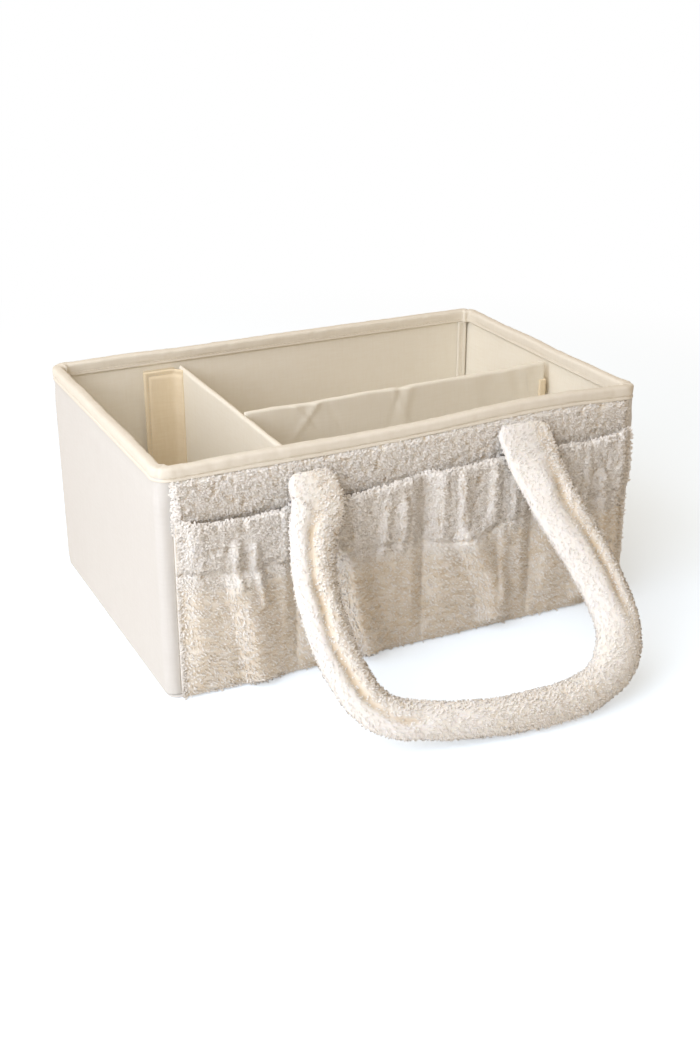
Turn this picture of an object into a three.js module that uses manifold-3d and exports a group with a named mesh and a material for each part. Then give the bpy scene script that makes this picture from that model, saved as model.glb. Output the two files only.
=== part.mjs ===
// Baby organizer: a fleece-sided nappy caddy with two carrying handles and two loose dividers.
// Millimetres, +Z up. The origin is the middle of the footprint, on the floor.
// The long sides face front (-Y) and back (+Y). The smooth ends face left (-X) and right (+X).

import * as THREE from 'three';
import { mergeVertices } from 'three/addons/utils/BufferGeometryUtils.js';
import Module from 'manifold-3d';

const wasm = await Module();
wasm.setup();

// The box as a whole
const length = 380; // along X, over the rim binding
const depth = 254; // along Y, over the fleece
const height = 170; // floor to the top of the rim
const clearance = 0.3; // between pieces that touch
const cornerRadius = 8; // upright corners, outside
const roundSteps = 4; // straight steps in a quarter circle

// Cloth and boards, each a thickness
const fleecePile = 4.5;
const fleeceBacking = 1.2;
const coverCloth = 1;
const liningCloth = 0.8;
const wallBoard = 2.4;
const baseCloth = 1.2;
const baseBoard = 3;
const coverWrap = 10; // how far an end cover runs round onto the long sides

// Rim binding and the bound seams inside the corners
const bindingCloth = 1;
const bindingDrop = 10; // height of the binding on both faces of the wall
const bindingTop = 2.2; // thickness over the top edge
const bindingRound = 2;
const seamWidth = 8.5;
const seamCloth = 1.2;
const seamInset = 1.5;

// Dividers and their fastening flaps
const crossDividerX = -85;
const longDividerY = -13;
const dividerDrop = 14; // below the top of the rim
const dividerBoard = 2;
const dividerCloth = 0.8;
const flapWidth = 29;
const flapCloth = 2.2;
const flapInset = 0.5; // below the divider's top edge
const longFlapInset = 10; // the same for the long divider's flaps, which don't show above it
const flapRise = 8; // above the divider's bottom edge
const tape = 1.4; // thickness of a hook or loop tape
const tapeStart = 2; // from the flap's fold line
const tapeMargin = 1; // from the flap's free edge

// Pockets on the long sides
const pocketDrop = 36; // from the top of the rim to the pockets' top edge
const pocketSeams = [-95, 4, 95]; // upright seams between the pockets
const pocketCloth = 4.5;
const pocketGap = 5.6; // how far the cloth stands off the wall between seams
const pocketRise = 42; // height over which the cloth leaves the wall
const seamReach = 13; // distance over which a seam draws the cloth in
const seamPinch = 0.2;
const hemCloth = 6;
const hemDepth = 43;
const hemPinch = 0.35; // share of the thickness that the hem's stitching takes
const hemStitch = 4; // half width of the groove along the stitching
const hemEdge = 3; // rounding of the hem's top edge
const pocketSteps = 11; // columns of faces in one pocket
const elasticWidth = 22;
const elasticThick = 1.2;
const elasticDrop = 9; // below the pocket's top edge

// Folds of the gathered cloth. Each ridge runs from its upper to its lower end, given as a share
// of its pocket's width and of the height of the pockets, and is a share of the fullest ridge.
const foldHeight = 3.5;
const foldWidth = 7;
const frontFolds = [
  { bay: 0, upper: [0.45, 0.65], lower: [0.64, 0.05], share: 1 },
  { bay: 0, upper: [0.44, 0.86], lower: [0.44, 0.57], share: 0.65 },
  { bay: 0, upper: [0.6, 0.86], lower: [0.61, 0.57], share: 0.65 },
  { bay: 1, upper: [0.38, 0.65], lower: [0.51, 0.06], share: 1 },
  { bay: 1, upper: [0.66, 0.83], lower: [0.74, 0.48], share: 0.6 },
  { bay: 2, upper: [0.38, 0.6], lower: [0.62, 0.06], share: 0.9 },
  { bay: 2, upper: [0.3, 0.88], lower: [0.32, 0.6], share: 0.6 },
  { bay: 2, upper: [0.57, 0.88], lower: [0.6, 0.6], share: 0.6 },
  { bay: 3, upper: [0.3, 0.65], lower: [0.44, 0.08], share: 0.85 },
  { bay: 3, upper: [0.66, 0.82], lower: [0.73, 0.45], share: 0.6 },
];
const backFolds = [
  { bay: 0, upper: [0.39, 0.66], lower: [0.56, 0.06], share: 0.9 },
  { bay: 0, upper: [0.73, 0.82], lower: [0.68, 0.51], share: 0.65 },
  { bay: 1, upper: [0.35, 0.63], lower: [0.54, 0.06], share: 0.95 },
  { bay: 1, upper: [0.76, 0.83], lower: [0.82, 0.49], share: 0.6 },
  { bay: 2, upper: [0.33, 0.65], lower: [0.53, 0.06], share: 0.95 },
  { bay: 2, upper: [0.73, 0.82], lower: [0.68, 0.48], share: 0.6 },
  { bay: 3, upper: [0.39, 0.65], lower: [0.56, 0.06], share: 0.9 },
  { bay: 3, upper: [0.74, 0.8], lower: [0.7, 0.46], share: 0.6 },
];

// Handles
const handlePitch = 170; // between the middles of the two sewn ends
const handleReach = 196.5; // from the fold line at the rim to the middle of the grip
const leftBow = 106.5; // the left arm's widest place, from the middle
const leftRise = 94; // its height above the grip
const rightBow = 100;
const rightRise = 55;
const gripSlope = 14; // how much higher the grip starts on the left
const gripStart = 70; // where the left corner meets the grip, from the middle
const gripEnd = 28; // where the grip meets the right corner, from the middle
const hingeDrop = 22; // from the fold line at the rim to the second fold
const strapWidth = 40;
const strapThick = 6;
const shoulderWidth = 35;
const shoulderThick = 17;
const leftArmWidth = 31;
const rightArmWidth = 31;
const armThick = 21;
const leftBendWidth = 27;
const rightBendWidth = 31;
const bendThick = 23;
const gripWidth = 24;
const handleWall = 4; // the sleeve's cloth and pile
const slitHeight = 1; // half height of the sleeve's hollow where it is pressed flat
const creaseDepth = 2.2; // the closing seam's groove along an arm
const coreStart = 24; // from the second fold
const ringPoints = 12;
const handleRings = 34;

// Width and thickness of the handle at shares of its length, from left to right
const handleSizes = [
  { share: 0, width: strapWidth, thick: strapThick, crease: 0 },
  { share: 0.01, width: strapWidth, thick: strapThick, crease: 0 },
  { share: 0.055, width: shoulderWidth, thick: shoulderThick, crease: creaseDepth },
  { share: 0.22, width: leftArmWidth, thick: armThick, crease: creaseDepth },
  { share: 0.36, width: leftBendWidth, thick: bendThick, crease: 0 },
  { share: 0.45, width: gripWidth, thick: gripWidth, crease: 0 },
  { share: 0.62, width: gripWidth, thick: gripWidth, crease: 0 },
  { share: 0.72, width: rightBendWidth, thick: bendThick, crease: 0 },
  { share: 0.82, width: rightArmWidth, thick: armThick, crease: creaseDepth },
  { share: 0.945, width: shoulderWidth, thick: shoulderThick, crease: creaseDepth },
  { share: 0.99, width: strapWidth, thick: strapThick, crease: 0 },
  { share: 1, width: strapWidth, thick: strapThick, crease: 0 },
];

// Half sizes of the wall's layers, from the outside in
const coverX = length / 2 - bindingCloth - clearance;
const boardX = coverX - coverCloth - clearance;
const liningX = boardX - wallBoard - clearance;
const insideX = liningX - liningCloth;
const fleeceY = depth / 2;
const boardY = fleeceY - fleecePile - clearance;
const liningY = boardY - wallBoard - clearance;
const insideY = liningY - liningCloth;
const coverY = boardY + clearance + coverCloth;
const flangeY = boardY + clearance + fleeceBacking;
const bindingY = Math.max(flangeY, coverY) + clearance + bindingCloth;
const fleeceX = coverX - coverWrap;

// Heights
const wallBottom = baseCloth + clearance;
const wallTop = height - bindingTop - clearance;
const bindingBottom = height - bindingDrop;
const baseBoardTop = wallBottom + baseBoard;
const floorTop = baseBoardTop + clearance + liningCloth;
const dividerBottom = floorTop + clearance;
const dividerTop = height - dividerDrop;
const pocketTop = height - pocketDrop;
const hemLine = pocketTop - hemDepth;

// Whatever is lifted out passes inside the binding's inner leg
const bindingInset = clearance + bindingCloth;
const slideX = insideX - bindingInset - clearance;
const slideY = insideY - bindingInset - clearance;
const dividerThick = dividerBoard + 2 * (clearance + dividerCloth);
const flapAxisInset = 3 * clearance + 2 * tape + flapCloth / 2;

const finishes = {
  fleece: { color: 0xece2d2, roughness: 0.98 },
  cover: { color: 0xf2ebdf, roughness: 0.85 },
  lining: { color: 0xe9dfcc, roughness: 0.82 },
  binding: { color: 0xefe6d6, roughness: 0.78 },
  board: { color: 0xd9d4c8, roughness: 0.7 },
  tape: { color: 0xe6dcc8, roughness: 0.9 },
  elastic: { color: 0xf4f1ea, roughness: 0.8 },
  foam: { color: 0xf1ead6, roughness: 0.95 },
};

function piece(name, finish, geometry) {
  const material = new THREE.MeshStandardMaterial({ ...finishes[finish], metalness: 0 });
  const mesh = new THREE.Mesh(geometry, material);
  mesh.name = name;
  return mesh;
}

function smooth(t) {
  const s = Math.min(Math.max(t, 0), 1);
  return s * s * (3 - 2 * s);
}

function hump(distance, halfWidth) {
  return Math.exp(-((distance / halfWidth) ** 2));
}

function slab(x, y, z) {
  const geometry = new THREE.BoxGeometry(x[1] - x[0], y[1] - y[0], z[1] - z[0]);
  return geometry.translate((x[0] + x[1]) / 2, (y[0] + y[1]) / 2, (z[0] + z[1]) / 2);
}

// An outline in plan, drawn up from one height to another
function prism(shape, z) {
  const options = { depth: z[1] - z[0], bevelEnabled: false, curveSegments: roundSteps };
  return new THREE.ExtrudeGeometry(shape, options).translate(0, 0, z[0]);
}

// An outline in (y, z), drawn along X
function beam(outline, x) {
  const shape = new THREE.Shape(outline.map(([y, z]) => new THREE.Vector2(y, z)));
  const along = new THREE.ExtrudeGeometry(shape, {
    depth: x[1] - x[0],
    bevelEnabled: false,
    curveSegments: roundSteps,
  });
  const turn = new THREE.Matrix4().makeBasis(
    new THREE.Vector3(0, 1, 0),
    new THREE.Vector3(0, 0, 1),
    new THREE.Vector3(1, 0, 0),
  );
  return along.applyMatrix4(turn).translate(x[0], 0, 0);
}

// A closed surface from points and triangles, with its faces turned outwards
function surface(points, triangles) {
  let volume = 0;
  const corner = new THREE.Vector3();
  for (const [a, b, c] of triangles) {
    volume += corner.crossVectors(points[b], points[c]).dot(points[a]);
  }
  const geometry = new THREE.BufferGeometry().setFromPoints(points);
  geometry.setIndex(triangles.flatMap(([a, b, c]) => (volume > 0 ? [a, b, c] : [a, c, b])));
  geometry.computeVertexNormals();
  return geometry;
}

function quad(a, b, c, d) {
  return [
    [a, b, c],
    [a, c, d],
  ];
}

// Rings of equal point counts, joined one to the next. A loop joins the last to the first,
// and otherwise both ends are closed by flat fans.
function loft(rings, isLoop) {
  const count = rings[0].length;
  const points = rings.flat();
  const triangles = [];
  const last = isLoop ? rings.length : rings.length - 1;
  for (let i = 0; i < last; i += 1) {
    const next = (i + 1) % rings.length;
    for (let j = 0; j < count; j += 1) {
      const k = (j + 1) % count;
      const corners = [i * count + j, i * count + k, next * count + k, next * count + j];
      triangles.push(...quad(...corners));
    }
  }
  if (!isLoop) {
    const end = (rings.length - 1) * count;
    for (let j = 1; j < count - 1; j += 1) {
      triangles.push([0, j + 1, j], [end, end + j, end + j + 1]);
    }
  }
  return surface(points, triangles);
}

// A sheet of cloth between two faces, each a function of x and z
function sheet(xs, zs, outer, inner) {
  const points = [];
  for (const face of [outer, inner]) {
    for (const x of xs) {
      for (const z of zs) {
        points.push(face(x, z));
      }
    }
  }
  const rows = zs.length;
  const far = xs.length * rows;
  const at = (i, j) => i * rows + j;
  const triangles = [];
  for (let i = 0; i < xs.length - 1; i += 1) {
    for (let j = 0; j < rows - 1; j += 1) {
      const [a, b, c, d] = [at(i, j), at(i + 1, j), at(i + 1, j + 1), at(i, j + 1)];
      triangles.push(...quad(a, b, c, d), ...quad(far + a, far + d, far + c, far + b));
    }
  }
  const border = [];
  for (let i = 0; i < xs.length - 1; i += 1) {
    border.push([at(i + 1, 0), at(i, 0)], [at(i, rows - 1), at(i + 1, rows - 1)]);
  }
  for (let j = 0; j < rows - 1; j += 1) {
    border.push([at(0, j), at(0, j + 1)], [at(xs.length - 1, j + 1), at(xs.length - 1, j)]);
  }
  for (const [a, b] of border) {
    triangles.push(...quad(a, b, far + b, far + a));
  }
  return surface(points, triangles);
}

function solid(geometry) {
  const bare = geometry.clone();
  bare.deleteAttribute('normal');
  bare.deleteAttribute('uv');
  const merged = mergeVertices(bare, 1e-4);
  return new wasm.Manifold(
    new wasm.Mesh({
      numProp: 3,
      vertProperties: new Float32Array(merged.attributes.position.array),
      triVerts: new Uint32Array(merged.index.array),
    }),
  );
}

function cut(geometry, tool) {
  const mesh = solid(geometry).subtract(solid(tool)).getMesh();
  const result = new THREE.BufferGeometry();
  result.setAttribute('position', new THREE.BufferAttribute(mesh.vertProperties, 3));
  result.setIndex(new THREE.BufferAttribute(mesh.triVerts, 1));
  result.computeVertexNormals();
  return result;
}

// A rectangle with round corners, as points at one height
function roundedOutline(halfX, halfY, radius, z) {
  const points = [];
  const corners = [
    [1, 1],
    [-1, 1],
    [-1, -1],
    [1, -1],
  ];
  corners.forEach(([sideX, sideY], quarter) => {
    for (let i = 0; i <= roundSteps; i += 1) {
      const angle = ((quarter + i / roundSteps) * Math.PI) / 2;
      const x = sideX * (halfX - radius) + radius * Math.cos(angle);
      const y = sideY * (halfY - radius) + radius * Math.sin(angle);
      points.push(new THREE.Vector3(x, y, z));
    }
  });
  return points;
}

function basePieces() {
  const outline = roundedOutline(coverX - coverCloth, fleeceY - coverCloth, cornerRadius, 0);
  const insetX = insideX - clearance;
  const insetY = insideY - clearance;
  const x = [-insetX, insetX];
  const y = [-insetY, insetY];
  return [
    piece('base_panel', 'cover', prism(new THREE.Shape(outline), [0, baseCloth])),
    piece('base_board', 'board', slab(x, y, [wallBottom, baseBoardTop])),
    piece('base_lining', 'lining', slab(x, y, [baseBoardTop + clearance, floorTop])),
  ];
}

// The fleece of a long side thins to its backing where the binding grips it
function fleeceSide(name) {
  const outline = [
    [-boardY - clearance, wallBottom],
    [-boardY - clearance, wallTop],
    [-flangeY, wallTop],
    [-flangeY, bindingBottom - clearance],
    [-fleeceY, bindingBottom - clearance],
    [-fleeceY, wallBottom],
  ];
  return piece(name, 'fleece', beam(outline, [-fleeceX, fleeceX]));
}

function longWall(side) {
  const half = new THREE.Group();
  const z = [wallBottom, wallTop];
  const boardEnd = coverX - cornerRadius;
  const liningEnd = insideX - clearance;
  half.add(
    fleeceSide(`${side}_fleece`),
    piece(`${side}_board`, 'board', slab([-boardEnd, boardEnd], [-boardY, -boardY + wallBoard], z)),
    piece(`${side}_lining`, 'lining', slab([-liningEnd, liningEnd], [-liningY, -insideY], z)),
  );
  return half;
}

// An end cover is a C in plan: the end itself and a short return on each long side
function endCover(name) {
  const edge = fleeceX + clearance;
  const arcX = coverX - cornerRadius;
  const arcY = coverY - cornerRadius;
  const inner = cornerRadius - coverCloth;
  const shape = new THREE.Shape();
  shape.moveTo(edge, -coverY);
  shape.lineTo(arcX, -coverY);
  shape.absarc(arcX, -arcY, cornerRadius, -Math.PI / 2, 0, false);
  shape.absarc(arcX, arcY, cornerRadius, 0, Math.PI / 2, false);
  shape.lineTo(edge, coverY);
  shape.lineTo(edge, coverY - coverCloth);
  shape.absarc(arcX, arcY, inner, Math.PI / 2, 0, true);
  shape.absarc(arcX, -arcY, inner, 0, -Math.PI / 2, true);
  shape.lineTo(edge, coverCloth - coverY);
  return piece(name, 'cover', prism(shape, [wallBottom, wallTop]));
}

function endWall(side) {
  const half = new THREE.Group();
  const z = [wallBottom, wallTop];
  const boardEnd = coverY - cornerRadius;
  half.add(
    endCover(`${side}_end_cover`),
    piece(`${side}_board`, 'board', slab([boardX - wallBoard, boardX], [-boardEnd, boardEnd], z)),
    piece(`${side}_lining`, 'lining', slab([insideX, liningX], [-liningY, liningY], z)),
  );
  return half;
}

// One closed ring of cloth, folded over the top edge of all four walls
function rimBinding() {
  const outerRadius = cornerRadius + clearance + bindingCloth;
  const innerX = insideX - bindingInset;
  const innerY = insideY - bindingInset;
  const innerRadius = 1;
  const soft = 0.3 * bindingRound;
  const outside = (inset, z) =>
    roundedOutline(length / 2 - inset, bindingY - inset, outerRadius - inset, z);
  const inside = (inset, z) =>
    roundedOutline(innerX + inset, innerY + inset, innerRadius + inset, z);
  const under = height - bindingTop;
  const rings = [
    outside(0, bindingBottom),
    outside(0, height - bindingRound),
    outside(soft, height - soft),
    outside(bindingRound, height),
    inside(bindingRound, height),
    inside(soft, height - soft),
    inside(0, height - bindingRound),
    inside(0, bindingBottom),
    inside(bindingCloth, bindingBottom),
    inside(bindingCloth, under),
    outside(bindingCloth, under),
    outside(bindingCloth, bindingBottom),
  ];
  return piece('rim_binding', 'binding', loft(rings, true));
}

// The bound seam allowance that lies on the long lining beside each inner corner
function cornerBindings() {
  const group = new THREE.Group();
  for (const [side, signY] of [['front', -1], ['back', 1]]) {
    for (const [end, signX] of [['left', -1], ['right', 1]]) {
      const near = insideX - seamInset - seamWidth;
      const x = [signX * near, signX * (near + seamWidth)].sort((a, b) => a - b);
      const face = insideY - clearance;
      const y = [signY * (face - seamCloth), signY * face].sort((a, b) => a - b);
      const z = [dividerBottom, bindingBottom - clearance];
      group.add(piece(`corner_binding_${side}_${end}`, 'binding', slab(x, y, z)));
    }
  }
  return group;
}

// How far the pocket's cloth stands off the wall at a place
function fullness(x, z) {
  const nearest = Math.min(...[-fleeceX, ...pocketSeams, fleeceX].map((s) => Math.abs(x - s)));
  return pocketGap * smooth(nearest / seamReach) * smooth((z - wallBottom) / pocketRise);
}

function clothThickness(x, z) {
  const nearest = Math.min(...pocketSeams.map((seam) => Math.abs(x - seam)));
  const base = pocketCloth + (hemCloth - pocketCloth) * smooth((z - hemLine) / hemStitch);
  const top = z > pocketTop - hemEdge / 2 ? hemEdge : 0;
  const pinched = base * (1 - hemPinch * hump(z - hemLine, hemStitch));
  return pinched * (1 - seamPinch * hump(nearest, seamReach / 2)) - top / 2;
}

function foldRise(folds, x, z) {
  const edges = [-fleeceX, ...pocketSeams, fleeceX];
  let rise = 0;
  for (const { bay, upper, lower, share } of folds) {
    const along = (upper[1] - z / pocketTop) / (upper[1] - lower[1]);
    const across = upper[0] + (lower[0] - upper[0]) * along;
    const middle = edges[bay] + (edges[bay + 1] - edges[bay]) * across;
    const ends = smooth(4 * along) * smooth(4 * (1 - along));
    rise += foldHeight * share * ends * hump(x - middle, foldWidth);
  }
  return rise;
}

// The elastic's path, or with a margin the casing that it runs in
function elasticRings(xs, margin) {
  const low = pocketTop - elasticDrop - elasticWidth - margin;
  const high = pocketTop - elasticDrop + margin;
  const backing = (hemCloth * (1 - seamPinch) - elasticThick) / 2;
  const wall = -fleeceY - clearance;
  return xs.map((x) => {
    const inside = wall - fullness(x, pocketTop) - backing;
    const near = inside + margin;
    const far = inside - elasticThick - margin;
    return [
      new THREE.Vector3(x, near, low),
      new THREE.Vector3(x, far, low),
      new THREE.Vector3(x, far, high),
      new THREE.Vector3(x, near, high),
    ];
  });
}

function pocket(side, folds) {
  const edges = [-fleeceX, ...pocketSeams, fleeceX];
  const xs = [edges[0]];
  for (let bay = 1; bay < edges.length; bay += 1) {
    const width = edges[bay] - edges[bay - 1];
    for (let i = 1; i <= pocketSteps; i += 1) {
      xs.push(edges[bay - 1] + (width * i) / pocketSteps);
    }
  }
  const lowerRows = 6;
  const zs = [];
  for (let i = 0; i <= lowerRows; i += 1) {
    zs.push(wallBottom + ((hemLine - hemStitch - wallBottom) * i) / lowerRows);
  }
  zs.push(hemLine, hemLine + hemStitch, (hemLine + pocketTop) / 2, pocketTop - hemEdge, pocketTop);
  const wall = -fleeceY - clearance;
  const inner = (x, z) => new THREE.Vector3(x, wall - fullness(x, z), z);
  const outer = (x, z) => {
    const cloth = clothThickness(x, z) + foldRise(folds, x, z);
    return new THREE.Vector3(x, wall - fullness(x, z) - cloth, z);
  };
  const past = [-fleeceX - pocketCloth, ...xs, fleeceX + pocketCloth];
  const casing = loft(elasticRings(past, clearance), false);
  const group = new THREE.Group();
  group.add(
    piece(`${side}_pocket`, 'fleece', cut(sheet(xs, zs, outer, inner), casing)),
    piece(`${side}_pocket_elastic`, 'elastic', loft(elasticRings(xs, 0), false)),
  );
  return group;
}

// A divider is a stiff board in a cloth cover that is open along the bottom
function divider(name, x, y) {
  const skin = dividerCloth + clearance;
  const thinX = x[1] - x[0] < y[1] - y[0];
  const inset = (range) => [range[0] + skin, range[1] - skin];
  const roomX = [x[0] + dividerCloth, x[1] - dividerCloth];
  const roomY = [y[0] + dividerCloth, y[1] - dividerCloth];
  const cover = slab(x, y, [dividerBottom, dividerTop]);
  const room = slab(roomX, roomY, [dividerBottom - dividerThick, dividerTop - dividerCloth]);
  const half = dividerBoard / 2;
  const middle = thinX ? (x[0] + x[1]) / 2 : (y[0] + y[1]) / 2;
  const across = [middle - half, middle + half];
  const board = slab(
    thinX ? across : inset(x),
    thinX ? inset(y) : across,
    [dividerBottom, dividerTop - skin],
  );
  const group = new THREE.Group();
  group.add(
    piece(`${name}_cover`, 'lining', cut(cover, room)),
    piece(`${name}_board`, 'board', board),
  );
  return group;
}

const tapeHeights = [dividerBottom + flapRise, dividerTop - flapInset];
const longTapeHeights = [dividerBottom + flapRise, dividerTop - longFlapInset];

// A flap points along its own +X from its fold line, with its hook tape on one side of it
function flap(name, hookName, x, y, turn, side, heights) {
  const r = flapCloth / 2;
  const shape = new THREE.Shape();
  shape.moveTo(flapWidth, -r);
  shape.lineTo(flapWidth, r);
  shape.lineTo(0, r);
  shape.absarc(0, 0, r, Math.PI / 2, (3 * Math.PI) / 2, false);
  const near = r + clearance;
  const hookY = side > 0 ? [near, near + tape] : [-near - tape, -near];
  const hookX = [tapeStart, flapWidth - tapeMargin];
  const group = new THREE.Group();
  group.add(
    piece(name, 'lining', prism(shape, heights)),
    piece(hookName, 'tape', slab(hookX, hookY, heights)),
  );
  group.position.set(x, y, 0);
  group.rotation.z = turn;
  return group;
}

function crossDivider() {
  const half = dividerThick / 2;
  const group = divider(
    'cross_divider',
    [crossDividerX - half, crossDividerX + half],
    [-slideY, slideY],
  );
  const foldX = crossDividerX - half - clearance - flapCloth / 2;
  const foldY = insideY - flapAxisInset;
  const tapeY = longDividerY + half + clearance + flapCloth / 2;
  const face = crossDividerX + half + clearance;
  const loopY = [tapeY + tapeStart, tapeY + flapWidth - tapeMargin];
  group.add(
    flap('cross_flap_front', 'cross_hook_front', foldX, -foldY, Math.PI, 1, tapeHeights),
    flap('cross_flap_back', 'cross_hook_back', foldX, foldY, Math.PI, -1, tapeHeights),
    piece('cross_divider_loop_tape', 'tape', slab([face, face + tape], loopY, longTapeHeights)),
  );
  return group;
}

// The long divider's flaps lie behind it, and its right end stops where its flap folds
function longDivider() {
  const half = dividerThick / 2;
  const start = crossDividerX + half;
  const leftX = start + flapAxisInset;
  const rightX = insideX - flapAxisInset;
  const foldY = longDividerY + half + clearance + flapCloth / 2;
  const group = divider(
    'long_divider',
    [start + clearance, rightX],
    [longDividerY - half, longDividerY + half],
  );
  group.add(
    flap('long_flap_left', 'long_hook_left', leftX, foldY, Math.PI / 2, 1, longTapeHeights),
    flap('long_flap_right', 'long_hook_right', rightX, foldY, Math.PI / 2, -1, longTapeHeights),
  );
  return group;
}

// Loop tapes sewn to the walls where the dividers' flaps are pressed on
function wallTapes() {
  const foldX = crossDividerX - dividerThick / 2 - clearance - flapCloth / 2;
  const foldY = longDividerY + dividerThick / 2 + clearance + flapCloth / 2;
  const x = [foldX - flapWidth + tapeMargin, foldX - tapeStart];
  const y = [foldY + tapeStart, foldY + flapWidth - tapeMargin];
  const faceX = insideX - clearance;
  const faceY = insideY - clearance;
  return [
    piece('front_loop_tape', 'tape', slab(x, [-faceY, tape - faceY], tapeHeights)),
    piece('back_loop_tape', 'tape', slab(x, [faceY - tape, faceY], tapeHeights)),
    piece('right_loop_tape', 'tape', slab([faceX - tape, faceX], y, longTapeHeights)),
  ];
}

// The middle line of a handle that hangs straight down, as (x, drop below the fold at the rim).
// It is five smooth curves: left arm, left bend, grip, right bend and right arm.
function handleLine() {
  const root = handlePitch / 2;
  const leftDrop = handleReach - leftRise;
  const rightDrop = handleReach - rightRise;
  const gripDrop = handleReach - gripSlope;
  const leftArm = leftDrop - hingeDrop;
  const rightArm = rightDrop - hingeDrop;
  const gripLength = gripStart + gripEnd;
  const line = new THREE.CurvePath();
  const controls = [
    [-root, hingeDrop],
    [-root, hingeDrop + 0.15 * leftArm],
    [-leftBow, hingeDrop + 0.36 * leftArm],
    [-leftBow, leftDrop],
    [-leftBow, leftDrop + 0.62 * (gripDrop - leftDrop)],
    [-gripStart - 0.74 * (leftBow - gripStart), gripDrop - 0.5 * gripSlope],
    [-gripStart, gripDrop],
    [-gripStart + 0.31 * gripLength, gripDrop + 0.55 * gripSlope],
    [gripEnd - 0.34 * gripLength, handleReach],
    [gripEnd, handleReach],
    [gripEnd + 0.61 * (rightBow - gripEnd), handleReach],
    [rightBow, handleReach - 0.33 * rightRise],
    [rightBow, rightDrop],
    [rightBow, rightDrop - 0.33 * rightArm],
    [root, hingeDrop + 0.32 * rightArm],
    [root, hingeDrop],
  ].map(([x, drop]) => new THREE.Vector2(x, drop));
  for (let i = 0; i + 3 < controls.length; i += 3) {
    line.add(new THREE.CubicBezierCurve(...controls.slice(i, i + 4)));
  }
  return line;
}

function handleSize(share) {
  const next = Math.max(1, handleSizes.findIndex((row) => row.share >= share));
  const [a, b] = [handleSizes[next - 1], handleSizes[next]];
  const t = smooth((share - a.share) / (b.share - a.share));
  const mix = (key) => a[key] + (b[key] - a[key]) * t;
  return { width: mix('width'), thick: mix('thick'), crease: mix('crease') };
}

// One ring round the handle's middle line, at a distance from its start
function handleRing(line, distance, inset) {
  const total = line.getLength();
  const share = Math.min(Math.max(distance / total, 0), 1);
  const tangent = line.getTangent(Math.min(Math.max(share, 1e-4), 1 - 1e-4)).normalize();
  const middle = line.getPoint(share);
  const beyond = distance - share * total;
  middle.addScaledVector(tangent, beyond);
  const size = handleSize(share);
  const round = strapThick / 2;
  const end = Math.sqrt(Math.max(round * round - beyond * beyond, 0)) / round;
  const halfWidth = size.width / 2 - inset;
  const fullHeight = (size.thick / 2) * end;
  const halfHeight = inset > 0 ? Math.max(size.thick / 2 - inset, slitHeight) : fullHeight;
  const points = [];
  for (let i = 0; i < ringPoints; i += 1) {
    const angle = (2 * Math.PI * i) / ringPoints;
    const groove = size.crease * hump(angle - Math.PI / 2, 0.5);
    const across = halfWidth * Math.cos(angle);
    const out = halfHeight * Math.sin(angle) - groove;
    const x = middle.x - tangent.y * across;
    const drop = middle.y + tangent.x * across;
    points.push(new THREE.Vector3(x, -out, -drop));
  }
  return points;
}

function handleStations(total) {
  const round = strapThick / 2;
  const start = [-0.85 * round, -0.5 * round, 0, 5, 10, 16, coreStart];
  const stations = [...start];
  for (let i = 1; i < handleRings; i += 1) {
    stations.push(coreStart + ((total - 2 * coreStart) * i) / handleRings);
  }
  return [...stations, ...start.map((d) => total - d).reverse()];
}

function handleLoop(side) {
  const line = handleLine();
  const total = line.getLength();
  const stations = handleStations(total);
  const outer = stations.map((d) => handleRing(line, d, 0));
  const hollow = stations.map((d) => handleRing(line, d, handleWall)).reverse();
  const inside = stations.filter((d) => d >= coreStart && d <= total - coreStart);
  const core = inside.map((d) => handleRing(line, d, handleWall + clearance));
  const group = new THREE.Group();
  group.add(
    piece(`${side}_handle_sleeve`, 'fleece', loft([...outer, ...hollow], true)),
    piece(`${side}_handle_core`, 'foam', loft(core, false)),
  );
  return group;
}

function handleTab(name, x) {
  const r = strapThick / 2;
  const end = hingeDrop - r - clearance;
  const outline = [];
  for (let i = 0; i <= 2 * roundSteps; i += 1) {
    const angle = (Math.PI * i) / (2 * roundSteps);
    outline.push([r * Math.cos(angle), r * Math.sin(angle)]);
  }
  outline.push([-r, -end], [r, -end]);
  return piece(name, 'fleece', beam(outline, [x - strapWidth / 2, x + strapWidth / 2]));
}

// A handle hangs from its fold line at the rim and leans out until its grip lies on the floor
function handle(side, leftName, rightName) {
  const foldY = fleeceY + clearance + strapThick / 2;
  const foldZ = bindingBottom - clearance - strapThick / 2;
  const tilt = Math.acos((foldZ - gripWidth / 2 - clearance) / handleReach);
  const group = new THREE.Group();
  group.add(
    handleTab(`${side}_handle_tab_${leftName}`, -handlePitch / 2),
    handleTab(`${side}_handle_tab_${rightName}`, handlePitch / 2),
    handleLoop(side),
  );
  group.position.set(0, -foldY, foldZ);
  group.rotation.x = -tilt;
  return group;
}

// What is made for the front or the right end, turned half round to the opposite side
function opposite(...members) {
  const group = new THREE.Group();
  group.add(...members);
  group.rotation.z = Math.PI;
  return group;
}

const organizer = new THREE.Group();
organizer.add(
  ...basePieces(),
  longWall('front'),
  opposite(longWall('back')),
  endWall('right'),
  opposite(endWall('left')),
  rimBinding(),
  cornerBindings(),
  pocket('front', frontFolds),
  opposite(pocket('back', backFolds)),
  ...wallTapes(),
  crossDivider(),
  longDivider(),
  handle('front', 'left', 'right'),
  opposite(handle('back', 'right', 'left')),
);

export default organizer;
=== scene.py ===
"""A fleece-sided nappy caddy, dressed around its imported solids.

Shapes are worked out in millimetres and turned to metres when a mesh is made.
"""
import itertools
import math

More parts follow.
